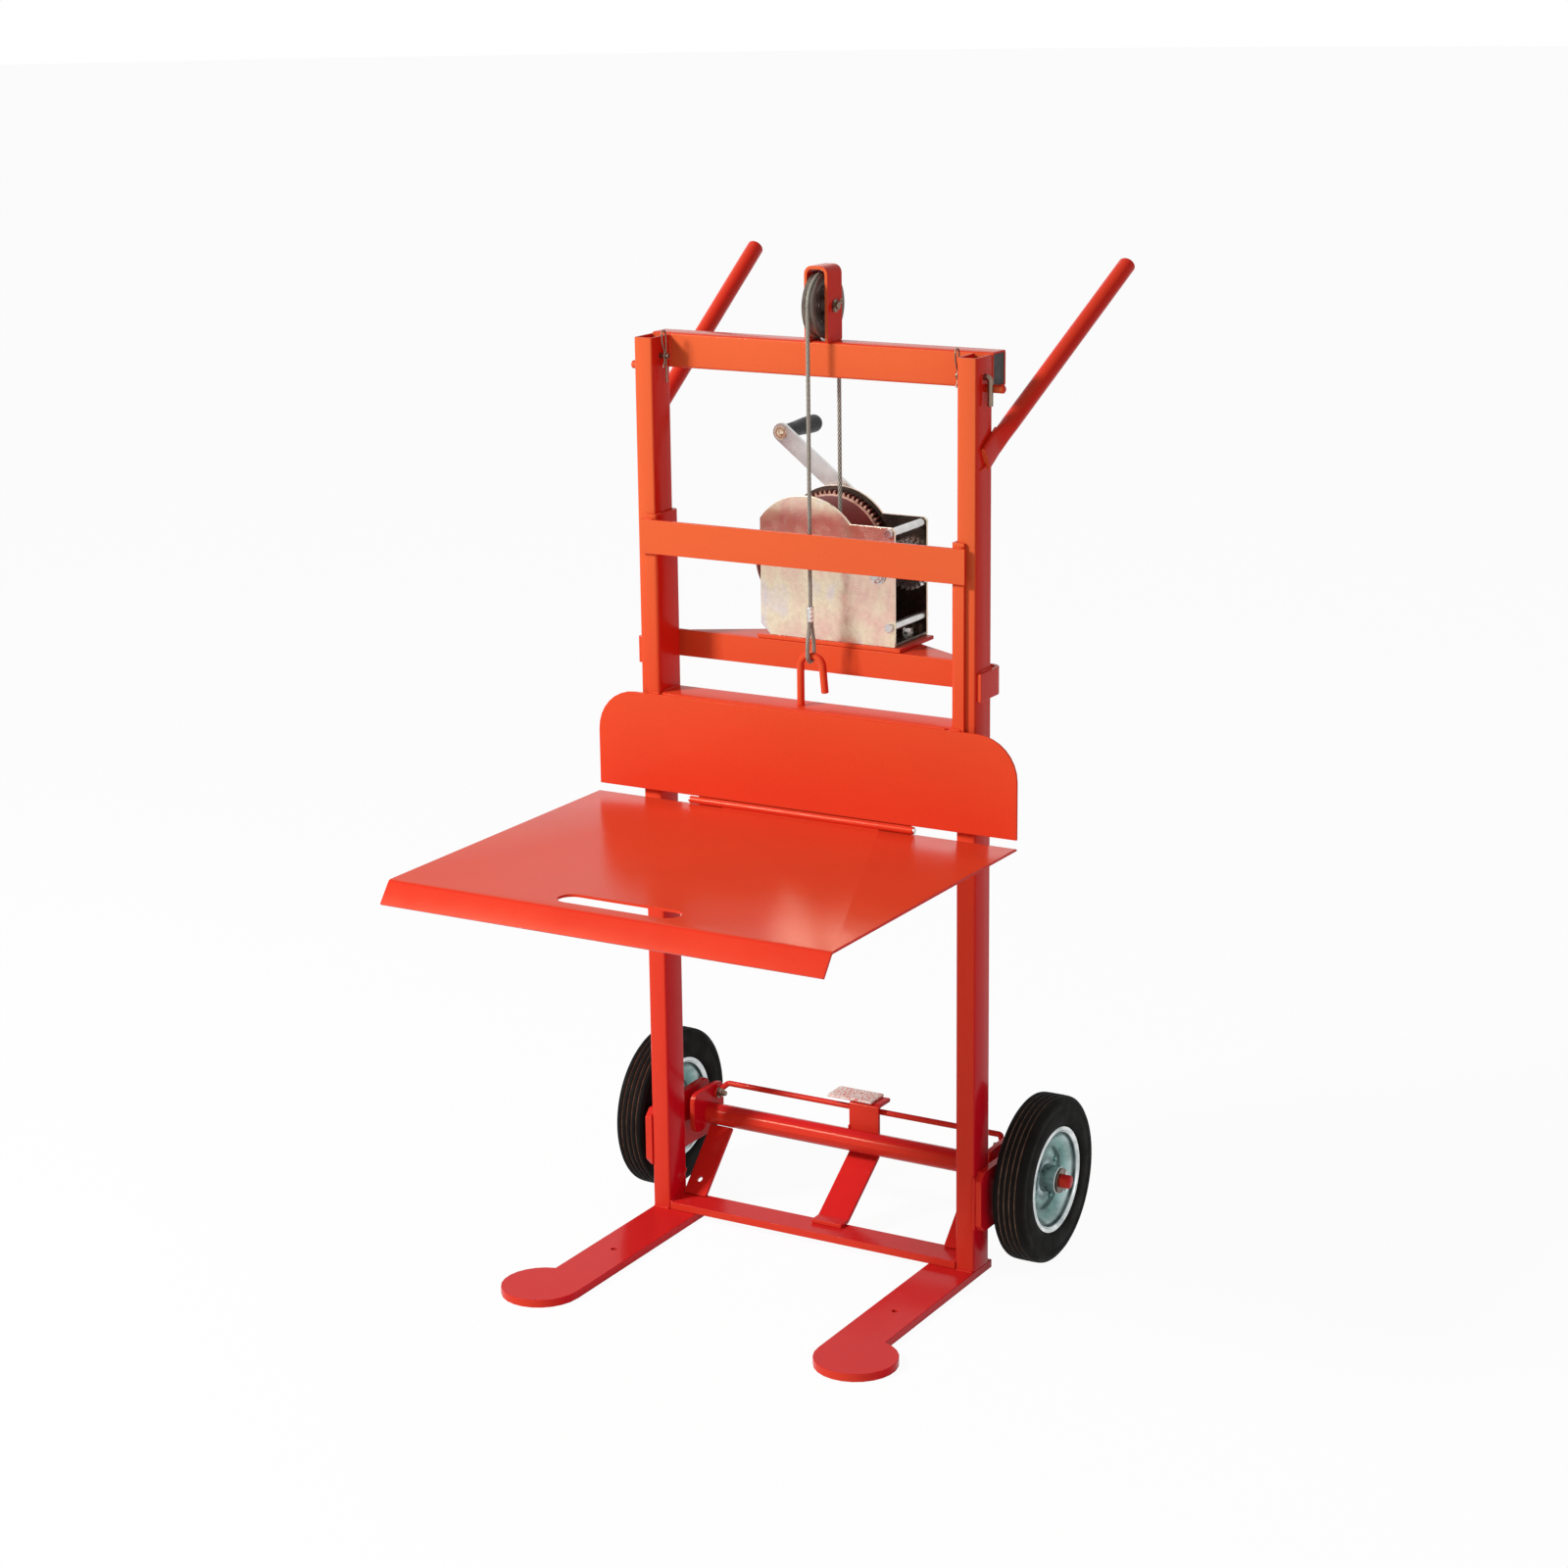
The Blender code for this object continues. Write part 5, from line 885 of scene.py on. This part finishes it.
def build_winch():
    """The winch: frame, drum, gears, brake, crank, its grip, tie rods and bolts."""
    dressed("winch_frame", "yellow_zinc", 0.0006)
    dressed("drum_gear", "drum_paint", 0.00025, 1)
    dressed("pinion", "zinc", 0.00025, 1)
    dressed("crank_arm", "zinc", 0.0008)
    flange = 0.088  # radius of the drum's front flange
    front, rear = 0.0747, 0.1793  # outer faces of the frame's cheeks
    drum = turned([(0.0806, 0.0084), (0.0806, 0.016), (0.0820, 0.0164), (0.0820, flange - 0.003),
                   (0.0814, flange - 0.0012), (0.0822, flange), (0.0842, flange),
                   (0.0850, flange - 0.0012), (0.0850, 0.0352), (0.0860, 0.0342),
                   (0.1570, 0.0342), (0.1580, 0.0352), (0.1580, 0.0818), (0.1588, 0.0830),
                   (0.1602, 0.0830), (0.1610, 0.0818), (0.1610, 0.0205), (0.1616, 0.0200),
                   (0.1734, 0.0200), (0.1734, 0.0084)], DRUM, ALONG_Y, 120, closed=True)
    ribs = [turned([(0.0850, 0), (0.0850, 0.0075), (0.0856, 0.0070), (0.0860, 0.0035),
                    (0.0857, 0)], DRUM + 0.062 * np.array((math.cos(a), 0, math.sin(a))),
                   ALONG_Y, 24) for a in np.radians(np.arange(30, 390, 60))]
    bead = turned([(0.0822, 0.0632), (0.0811, 0.0640), (0.0808, 0.0652), (0.0811, 0.0664),
                   (0.0822, 0.0672)], DRUM, ALONG_Y, 96)
    clamp = bolt_head(DRUM + (0.0585 * math.cos(1.35), 0.0820, 0.0585 * math.sin(1.35)),
                      (0, -1, 0), 0.008, 0.0012)
    piece("winch_drum", joined(drum, *ribs, bead, clamp), "drum", "drum_paint", ("drum",))
    axle = [turned([(front, 0.008), (rear, 0.008)], DRUM, ALONG_Y, 40),
            bolt_head(DRUM + (0, front, 0), (0, -1, 0), 0.0205, 0.0078),
            fastener(DRUM + (0, rear, 0), ALONG_Y, 0.0120, 0.0014, 0.0205, 0.0064, 40)]
    piece("winch_drum_axle", joined(*axle), "mast", "zinc", ("drum_axle",))
    for word, z in (("top", 1.080), ("bottom", 0.943)):
        place = at(0.100, 0, z)
        tie = [turned([(0.0803, 0), (0.0803, 0.0054), (0.0809, 0.0060), (0.1731, 0.0060),
                       (0.1737, 0.0054), (0.1737, 0)], place, ALONG_Y, 32)]
        tie += [fastener(place + (0, far, 0), (0, s, 0), 0.0069, 0.0010, 0.0118, 0.0038, 28)
                for far, s in ((front, -1), (rear, 1))]
        piece(f"winch_tie_{word}", joined(*tie), "mast", "zinc", (f"winch_spacer_{word}",))
    neck, nut = 0.006, 0.0112
    shaft = [turned([(0.0660, 0), (0.0660, 0.0052), (0.0668, 0.0060), (0.0728, 0.0060),
                     (0.0728, 0.0128), (0.0743, 0.0128), (0.0743, 0.008), (0.1940, 0.008),
                     (0.1947, 0.0074), (0.1947, neck),
                     (0.2013, neck), (0.2013, nut), (0.2024, nut), (0.2024, 0)], PINION,
                    ALONG_Y, 40),
             bolt_head(PINION + (0, 0.0728, 0), (0, -1, 0), 0.0190, 0.0052),
             bolt_head(PINION + (0, 0.2024, 0), ALONG_Y, 0.0185, 0.0062)]
    piece("winch_pinion_shaft", joined(*shaft), "crank", "zinc", ("pinion_shaft",))
    disc = turned([(0.1797, 0.0083), (0.1797, 0.0290), (0.1812, 0.0310), (0.1846, 0.0310),
                   (0.1850, 0.0296), (0.1866, 0.0296), (0.1870, 0.0310), (0.1930, 0.0310),
                   (0.1947, 0.0292), (0.1947, 0.0083)], PINION, ALONG_Y, 180, closed=True,
                  wave=lambda t: 1 - 0.012 * (0.5 + 0.5 * np.cos(45 * t)) ** 3)
    piece("winch_brake", disc, "crank", "zinc", ("brake_disc",), 50)
    rivet = turned([*(domed(0.0056, -0.0024) + (0.1927, 0))[::-1], (0.1934, 0.0062),
                    (0.1934, 0.0070), (0.1921, 0.0076), (0.1920, 0.0094), (0.1928, 0.0101),
                    (0.1947, 0.0102), (0.1947, 0)], TIP, ALONG_Y, 40)
    piece("crank_rivet", rivet, "crank", "yellow_zinc")
    spindle = turned([(0.1947, 0), (0.1947, 0.004), (0.2013, 0.004),
                      (0.2013, 0.005), (0.3004, 0.005), (0.3004, 0)], TIP, ALONG_Y, 36)
    piece("crank_spindle_rod", spindle, "crank", "zinc", ("crank_spindle",))
    s = np.linspace(0, 1, 30)
    body = np.stack([0.2054 + 0.0875 * s, 0.0100 + 0.0035 * (3 * s**2 - 2 * s**3)], -1)
    a = np.linspace(0, np.pi / 2, 12)[1:]
    cap = np.stack([0.2929 + 0.0135 * np.sin(a), 0.0135 * np.cos(a)], -1)
    grip = turned([(0.3008, 0), (0.3008, 0.0054), (0.2034, 0.0054), (0.2034, 0.0090),
                   (0.2040, 0.0098), *body, *cap], TIP, ALONG_Y, 64)
    piece("crank_grip_moulding", grip, "grip", "black_plastic", ("crank_grip",))
    bolts = [fastener(at(x, y, 0.9193), ALONG_Z, 0.0085, 0.0016, 0.013, 0.0053)
             for y in (0.100, 0.160) for x in (-0.080, 0.085)]
    piece("winch_bolts", joined(*bolts), "mast", "zinc")


def build_axle():
    """The axle with its collars, washers, split pins, and the bolted stay between the lugs."""
    right = [(0.2873, 0.010), (0.2873, 0.0152), (0.2881, 0.0160), (0.2943, 0.0160),
             (0.2951, 0.0152), (0.2951, 0.010), (0.3662, 0.010), (0.3674, 0.0094),
             (0.3680, 0.0082), (0.3680, 0)]
    piece("axle_shaft", turned(both_ways(right), AXLE, ALONG_X, 56), "mast", "red_paint", ("axle",))
    for word, side in SIDES:
        ring = turned([(0.3509, 0.0103), (0.3509, 0.0180), (0.3514, 0.0185), (0.3534, 0.0185),
                       (0.3539, 0.0180), (0.3539, 0.0103)], AXLE, (side, 0, 0), 56, closed=True)
        piece(f"axle_washer_{word}", ring, "mast", "yellow_zinc", (f"washer_{word}",))
        pin = split_pin(AXLE + (side * 0.36095, 0, 0), ALONG_Z, ALONG_Y, 0.0105, 0.0011)
        piece(f"axle_split_pin_{word}", pin, "mast", "zinc")
    end, knee = (0.2452, 0.154, 0.156), (0.2367, 0.165, 0.165)
    path = bent(ats([(-end[0], *end[1:]), (-knee[0], *knee[1:]), knee, end]), 0.006, 8)
    eyes = [turned([(0.2457, 0.0041), (0.2457, 0.0084), (0.2463, 0.0090), (0.2491, 0.0090),
                    (0.2497, 0.0084), (0.2497, 0.0041)], at(0, 0.151, 0.153), (s, 0, 0), 40,
                   closed=True) for s in (-1, 1)]
    piece("stay_bar", joined(rod(path, 0.0045, 28), *eyes), "mast", "red_paint",
          ("stay_rod",))
    bolts = []
    for side in (-1, 1):
        n = (side, 0, 0)
        low, high = at(side * 0.2457, 0.151, 0.153), at(side * 0.258, 0.151, 0.153)
        bolts += [turned([(-0.0130, 0), (-0.0130, 0.0036), (-0.0122, 0.0040), (0.0190, 0.0040),
                          (0.0190, 0)], low, n, 28),
                  fastener(low, (-side, 0, 0), 0.0086, 0.0014, 0.0125, 0.0060),
                  fastener(high, n, 0.0086, 0.0014, 0.0125, 0.0052)]
    piece("stay_bolts", joined(*bolts), "mast", "spring_steel")


def build_wheels():
    """Tyres and rims, turned from profiles measured from the wheel's middle plane. The tread's
    ribs are arcs between four grooves; the rim's dish is two arcs that meet at its disc."""
    half, crown, tread = 0.025, 0.125, 0.017
    edge, groove = 0.0208, 0.00145  # where the shoulder starts, and half a groove's width
    for word, side in SIDES:
        centre = AXLE + (side * WHEEL, 0, 0)
        ribs = []
        edges = np.linspace(-tread, tread, 5)
        grooves = (edges[:-1] + edges[1:]) / 2
        starts = np.concatenate([[-edge], grooves + groove])
        ends = np.concatenate([grooves - groove, [edge]])
        for low, high in zip(starts, ends):
            x = np.linspace(low, high, 7)
            top = crown - 0.9 * (np.abs(x) / half) ** 6 * 0.0045
            q = (x - low) / (high - low)
            top = top - 0.0005 * (2 * q - 1) ** 6
            ribs += list(zip(x, top))
            if high < edge:
                ribs += [(high + 0.0006, crown - 0.0034), (high + groove, crown - 0.0040),
                         (high + 0.0023, crown - 0.0034)]
        a = np.linspace(0, 1, 8)[1:]
        shoulder = np.stack([edge + 0.0042 * np.sin(a * np.pi / 2),
                             0.1215 - 0.0075 * (1 - np.cos(a * np.pi / 2))], -1)
        wall = [(0.0250, 0.110), (0.0246, 0.1085), (0.0246, 0.1060), (0.0250, 0.1045),
                (0.0250, 0.0900), (0.0247, 0.0868), (0.0240, 0.0838), (0.0226, 0.0810),
                (0.0196, 0.0804)]
        outer = np.array([*shoulder, *wall])
        inner = (outer * (-1, 1))[::-1]
        profile = np.concatenate([[(-0.0190, 0.0768)], inner, ribs, outer,
                                  [(0.0190, 0.0768)]])
        piece(f"tyre_{word}_tread", turned(profile, centre, (side, 0, 0), 144, closed=True),
              f"wheel_{word}", "rubber", (f"tyre_{word}",), 32)
        t = np.linspace(0, 1, 12)
        dish = np.stack([0.0025 + 0.0125 * t ** 2.2, 0.0470 + 0.0225 * t ** 0.9], -1)
        lip_t = np.linspace(0, np.pi, 9)
        lip = np.stack([0.0215 + 0.0019 * np.sin(lip_t), 0.0765 - 0.0034 * np.cos(lip_t)], -1)
        face = [(0.0275, 0.0104), (0.0275, 0.0190), (0.0265, 0.0200), (0.0060, 0.0200),
                (0.0034, 0.0206), (0.0025, 0.0225), (0.0025, 0.0300), (0.0034, 0.0330),
                (0.0034, 0.0430), *dish, (0.0172, 0.0700), (0.0200, 0.0708), (0.0208, 0.0722),
                *lip, (0.0193, 0.0798), (0.0193, 0.0765)]
        back = [(-x, r) for x, r in reversed(face)]
        rim = turned(np.array(face + back), centre, (side, 0, 0), 120, closed=True)
        rivets = []
        for angle in np.radians((28, 118, 208, 298)):
            for s in (-1, 1):
                place = centre + (side * s * 0.0034, 0.038 * math.cos(angle),
                                  0.038 * math.sin(angle))
                rivets += [washer(place, (side * s, 0, 0), 0.0052, 0.0008, 24),
                           turned(domed(0.0040, 0.0026) + (0.0008, 0), place,
                                  (side * s, 0, 0), 24)]
        piece(f"rim_{word}_pressing", joined(rim, *rivets), f"wheel_{word}", "rim_zinc",
              (f"rim_{word}",), 40)


def build_stop_pins():
    """The turning stop pins with their drilled inner ends, and the R shaped spring clips."""
    z, pin, wire = 1.320, 0.004, 0.0013  # height of the pins, radii of pin and clip
    for word, side in SIDES:
        path = bent(ats([(side * 0.2315, 0.025, z), (side * 0.284, 0.025, z),
                         (side * 0.284, 0.025, 1.280)]), 0.006, 10)
        piece(f"stop_pin_{word}_rod", rod(path, pin, 24), f"stop_pin_{word}",
              "spring_steel", (f"stop_pin_{word}",))
        x, r = side * 0.236, 0.0055
        loop = [(x, 0.0195 + r * math.cos(a), 1.352 + r * math.sin(a))
                for a in np.linspace(0, np.pi, 17)]
        hug = pin + wire + 0.0004 + wire / 4
        bend = [(x, 0.025 + hug * math.cos(a), z + hug * math.sin(a))
                for a in np.radians(np.linspace(125, 235, 12))]
        line = [(x, 0.025, 1.282), *loop, (x, 0.0140, 1.348), (x, 0.0195 - r * 0.8, 1.339),
                *bend, (x, 0.01675, 1.304)]
        piece(f"r_clip_{word}_wire", swept(smooth_line(ats(line), 0.0012), circle(wire, 12)),
              f"stop_pin_{word}", "spring_steel", (f"r_clip_{word}",))


def build_step():
    """The step's chequered plate: low lozenges, each a dome over a pointed oval, laid by turns
    at plus and minus 45 degrees on an even grid, on a plate with rounded edges."""
    dressed("tread_plate", "tread_plate", 0.0010, 3)
    u, v = np.meshgrid(np.linspace(-1, 1, 9), np.linspace(-1, 1, 7), indexing="ij")
    wide = (1 - u**2) ** 0.8
    shape = np.stack([u * 0.0052, v * wide * 0.0016,
                      0.0009 * (1 - u**2) ** 0.6 * (1 - v**2) ** 0.7], -1).reshape(-1, 3)
    studs = []
    for row, y in enumerate(np.arange(0.1535, 0.1870, 0.0076)):
        for column, x in enumerate(np.arange(-0.0440, 0.0230, 0.0094)):
            a = math.radians(45 if (row + column) % 2 else -45)
            turn = np.array(((math.cos(a), math.sin(a), 0), (-math.sin(a), math.cos(a), 0),
                             (0, 0, 1)))
            studs.append((shape @ turn + at(x, y, 0.1850), grid_faces(9, 7)))
    piece("step_lozenges", joined(*studs), "mast", "tread_plate")


def weld(points, radius=None, seed=0):
    """A weld bead along a seam: a circle swept along it, whose radius rises and falls once in
    each ripple, R (0.86 + 0.14 |cos(pi s / ripple)|), with a slow drift from a seeded draw."""
    radius = radius or sizes().bead
    path = even(ats(points), sizes().ripple / 6)
    s = np.linspace(0, 1, len(path)) * np.linalg.norm(path[-1] - path[0])
    draw = np.random.default_rng(seed).uniform(-1, 1, 12)
    drift = np.interp(np.linspace(0, 11, len(path)), np.arange(12), draw)
    r = radius * (0.86 + 0.14 * np.abs(np.cos(np.pi * s / sizes().ripple)) + 0.06 * drift)
    ends = np.minimum(1, np.minimum(s, s[-1] - s) / radius * 0.8 + 0.35)
    return swept(path, circle(1.0, 12)[None] * (r * ends)[:, None, None])


def mirrored(points):
    """The same seam on the left and on the right."""
    return [[(side * x, y, z) for x, y, z in points] for _, side in SIDES]


def build_welds():
    """Weld beads along the seams of the frame and of the carriage."""
    mast, carriage = [], []
    for seam in (
        [(0.246, -0.0004, 0.0128), (0.274, -0.0004, 0.0128)],
        [(0.246, 0.0504, 0.0128), (0.274, 0.0504, 0.0128)],
        [(0.2447, 0.002, 0.0242), (0.2447, 0.048, 0.0242)],
        [(0.2447, 0.0505, 1.302), (0.2447, 0.0505, 1.348)],
        [(0.2756, -0.0004, 0.080), (0.2756, -0.0004, 0.162)],
        [(0.2756, 0.0510, 0.078), (0.2756, 0.0510, 0.166)],
        [(0.2756, 0.0075, 0.870), (0.2756, 0.0075, 0.906)],
        [(0.2756, 0.0480, 0.9085), (0.2756, 0.0080, 0.9085)],
        [(0.2447, 0.0290, 0.047), (0.2447, 0.0480, 0.063)],
        [(0.2500, 0.1170, 0.126), (0.2500, 0.1250, 0.139)],
        [(0.2756, 0.0250, 1.224), (0.2756, 0.0600, 1.246)],
        [(0.2756, 0.0120, 1.192), (0.2756, 0.0400, 1.203)],
    ):
        mast += mirrored(seam)
    mast += [[(-0.012, 0.0476, 0.0245), (0.037, 0.0476, 0.0245)],
             [(-0.0125, 0.1495, 0.108), (-0.0125, 0.1495, 0.142)],
             [(-0.017, 0.0510, 1.3510), (-0.017, 0.0870, 1.3510)],
             [(0.017, 0.0510, 1.3510), (0.017, 0.0870, 1.3510)],
             [(-0.110, 0.0766, 0.9083), (0.110, 0.0766, 0.9083)]]
    for seam in (
        [(0.2600, -0.0062, 1.040), (0.2600, -0.0062, 1.083)],
        [(0.2440, -0.0065, 1.0358), (0.2590, -0.0065, 1.0358)],
        [(0.2440, -0.0065, 1.0862), (0.2590, -0.0065, 1.0862)],
        [(0.2385, 0.002, 0.8285), (0.2385, 0.047, 0.8285)],
        [(0.2390, -0.0062, 0.8270), (0.2560, -0.0062, 0.8270)],
    ):
        carriage += mirrored(seam)
    carriage += [[(-0.233, -0.0064, 0.8268), (0.233, -0.0064, 0.8268)],
                 [(-0.0235, 0.0220, 0.8290), (-0.0170, 0.0160, 0.8290),
                  (-0.0105, 0.0220, 0.8290), (-0.0170, 0.0280, 0.8290),
                  (-0.0235, 0.0220, 0.8290)]]
    for name, seams, body in (("mast_welds", mast, "mast"),
                              ("carriage_welds", carriage, "carriage")):
        piece(name, joined(*[weld(seam, seed=k) for k, seam in enumerate(seams)]), body,
              "red_paint", sharp=60)


def build_hinge():
    """The hinge pin with its two upset heads."""
    y, z = -0.0140 + REAR, 0.6748
    half = [(0.1852, 0.003), (0.1852, 0.0044), (0.1862, 0.0044), (0.1872, 0.0036), (0.1872, 0)]
    pin = turned(both_ways(half), (0, y, z), ALONG_X, 28)
    piece("hinge_pin_rod", pin, "carriage", "zinc", ("hinge_pin",))


# Stage.


def stage_material(name, shade, share):
    """A pale surface that the camera, mirrors and glass see nearly white: a share of plain
    white light is mixed in for their rays alone, and the rest keeps the truck's shadow."""
    material = bpy.data.materials.new(name)
    material.use_nodes = True
    tree = material.node_tree
    shader, out = tree.nodes["Principled BSDF"], tree.nodes["Material Output"]
    shader.inputs["Base Color"].default_value = (shade, shade, shade, 1)
    shader.inputs["Roughness"].default_value = 0.9
    shader.inputs["Specular IOR Level"].default_value = 0.0
    white = tree.nodes.new("ShaderNodeEmission")
    mix = made_node(tree, "MixShader", {0: seen_rays(tree, share), 1: shader.outputs[0],
                                        2: white.outputs[0]})
    tree.links.new(mix.outputs[0], out.inputs[0])
    return material


def seen_rays(tree, share):
    """A share for camera, glossy and transmission rays, and 0 for the rest."""
    path = tree.nodes.new("ShaderNodeLightPath")
    total = 0.0
    for ray in ("Is Camera Ray", "Is Glossy Ray", "Is Transmission Ray"):
        total = calculated(tree, "MAXIMUM", path.outputs[ray], total)
    return calculated(tree, "MULTIPLY", total, share)


def lamp(name, place, target, power, width):
    """A square soft lamp that looks at a target."""
    data = bpy.data.lights.new(name, "AREA")
    data.energy, data.size = power, width
    obj = bpy.data.objects.new(name, data)
    obj.location = place
    obj.rotation_euler = (Vector(target) - Vector(place)).to_track_quat("-Z", "Y").to_euler()
    bpy.context.scene.collection.objects.link(obj)


def build_stage():
    """A pale floor, a white surround, two soft lamps and the camera at the photo's angle."""
    scene, s = bpy.context.scene, bpy.context.scene.truck_stage
    r = np.concatenate([[0.0], np.geomspace(0.5, 40.0, 24)])
    mesh = bpy.data.meshes.new("floor")
    t = np.linspace(0, 2 * np.pi, 64, endpoint=False)
    points = r[:, None, None] * np.stack([np.cos(t), np.sin(t), t * 0], -1)[None]
    points[..., 2] -= 0.0004
    mesh.from_pydata(points.reshape(-1, 3).tolist(), [],
                     grid_faces(len(r), 64, False, True).tolist())
    clean(mesh)
    floor = bpy.data.objects.new("floor", mesh)
    floor.data.materials.append(stage_material("Floor", 0.95, 0.95))
    scene.collection.objects.link(floor)
    world = bpy.data.worlds.new("Surround")
    world.use_nodes = True
    scene.world = world
    tree = world.node_tree
    back = tree.nodes["Background"]
    back.inputs["Color"].default_value = (1, 1, 1, 1)
    strength = calculated(tree, "MAXIMUM", seen_rays(tree, 1.0), s.ambient)
    tree.links.new(strength, back.inputs["Strength"])
    lamp("Key lamp", (-2.6, -3.2, 3.5), (0, 0, 0.8), s.key, 0.9)
    lamp("Fill lamp", (3.4, -2.4, 1.6), (0, 0, 0.7), s.fill, 2.2)
    a, e, roll = s.azimuth, s.elevation, s.roll
    back_axis = Vector((math.sin(a) * math.cos(e), -math.cos(a) * math.cos(e), math.sin(e)))
    right = Vector((math.cos(a), math.sin(a), 0))
    above = back_axis.cross(right)
    camera = bpy.data.objects.new("Camera", bpy.data.cameras.new("Camera"))
    camera.data.sensor_width, camera.data.lens = 36.0, s.lens
    turn = Matrix((right * math.cos(roll) + above * math.sin(roll),
                   above * math.cos(roll) - right * math.sin(roll), back_axis)).transposed()
    camera.matrix_world = Matrix.Translation(Vector(s.camera)) @ turn.to_4x4()
    scene.collection.objects.link(camera)
    scene.camera = camera
    scene.view_settings.view_transform = "Standard"


# Operators, panel and the run.

STEPS = (
    ("frame", "Frame", dress_frame),
    ("handles", "Push handles", build_handles),
    ("pulley", "Pulley", build_pulley),
    ("ropes", "Hoist rope", build_ropes),
    ("hook", "Lift hook and rope eye", build_hook),
    ("winch", "Winch", build_winch),
    ("hinge", "Platform hinge", build_hinge),
    ("axle", "Axle and stay", build_axle),
    ("wheels", "Wheels", build_wheels),
    ("stop_pins", "Stop pins and clips", build_stop_pins),
    ("step", "Step", build_step),
    ("welds", "Weld beads", build_welds),
    ("stage", "Stage", build_stage),
)


def operator(key, label, build):
    """An operator class for one piece or group of like pieces, from the function that makes
    it."""

    def execute(self, context):
        build()
        return {"FINISHED"}

    return type("TRUCK_OT_" + key, (bpy.types.Operator,),
                {"__doc__": build.__doc__, "bl_idname": "truck." + key, "bl_label": label,
                 "bl_options": {"REGISTER", "UNDO"}, "execute": execute})


OPERATORS = tuple(operator(*step) for step in STEPS)


class TRUCK_PT_panel(bpy.types.Panel):
    """Lists the truck's operators, sizes and colours in the sidebar."""

    bl_label = "Hand Truck"
    bl_idname = "TRUCK_PT_panel"
    bl_space_type = "VIEW_3D"
    bl_region_type = "UI"
    bl_category = "Hand Truck"

    def draw(self, context):
        for kind in OPERATORS:
            self.layout.operator(kind.bl_idname)
        for group in (context.scene.truck_sizes, context.scene.truck_colours,
                      context.scene.truck_stage):
            box = self.layout.box()
            for key in group.bl_rna.properties.keys():
                if key not in {"rna_type", "name"}:
                    box.prop(group, key)


GROUPS = {"truck_sizes": TruckSizes, "truck_colours": TruckColours, "truck_stage": TruckStage}


def register():
    for kind in (*GROUPS.values(), *OPERATORS, TRUCK_PT_panel):
        bpy.utils.register_class(kind)
    for key, kind in GROUPS.items():
        setattr(bpy.types.Scene, key, PointerProperty(type=kind))


def unregister():
    for key in GROUPS:
        delattr(bpy.types.Scene, key)
    for kind in reversed((*GROUPS.values(), *OPERATORS, TRUCK_PT_panel)):
        bpy.utils.unregister_class(kind)


def main():
    register()
    for key, _, _ in STEPS:
        getattr(bpy.ops.truck, key)()


if __name__ == "__main__":
    main()
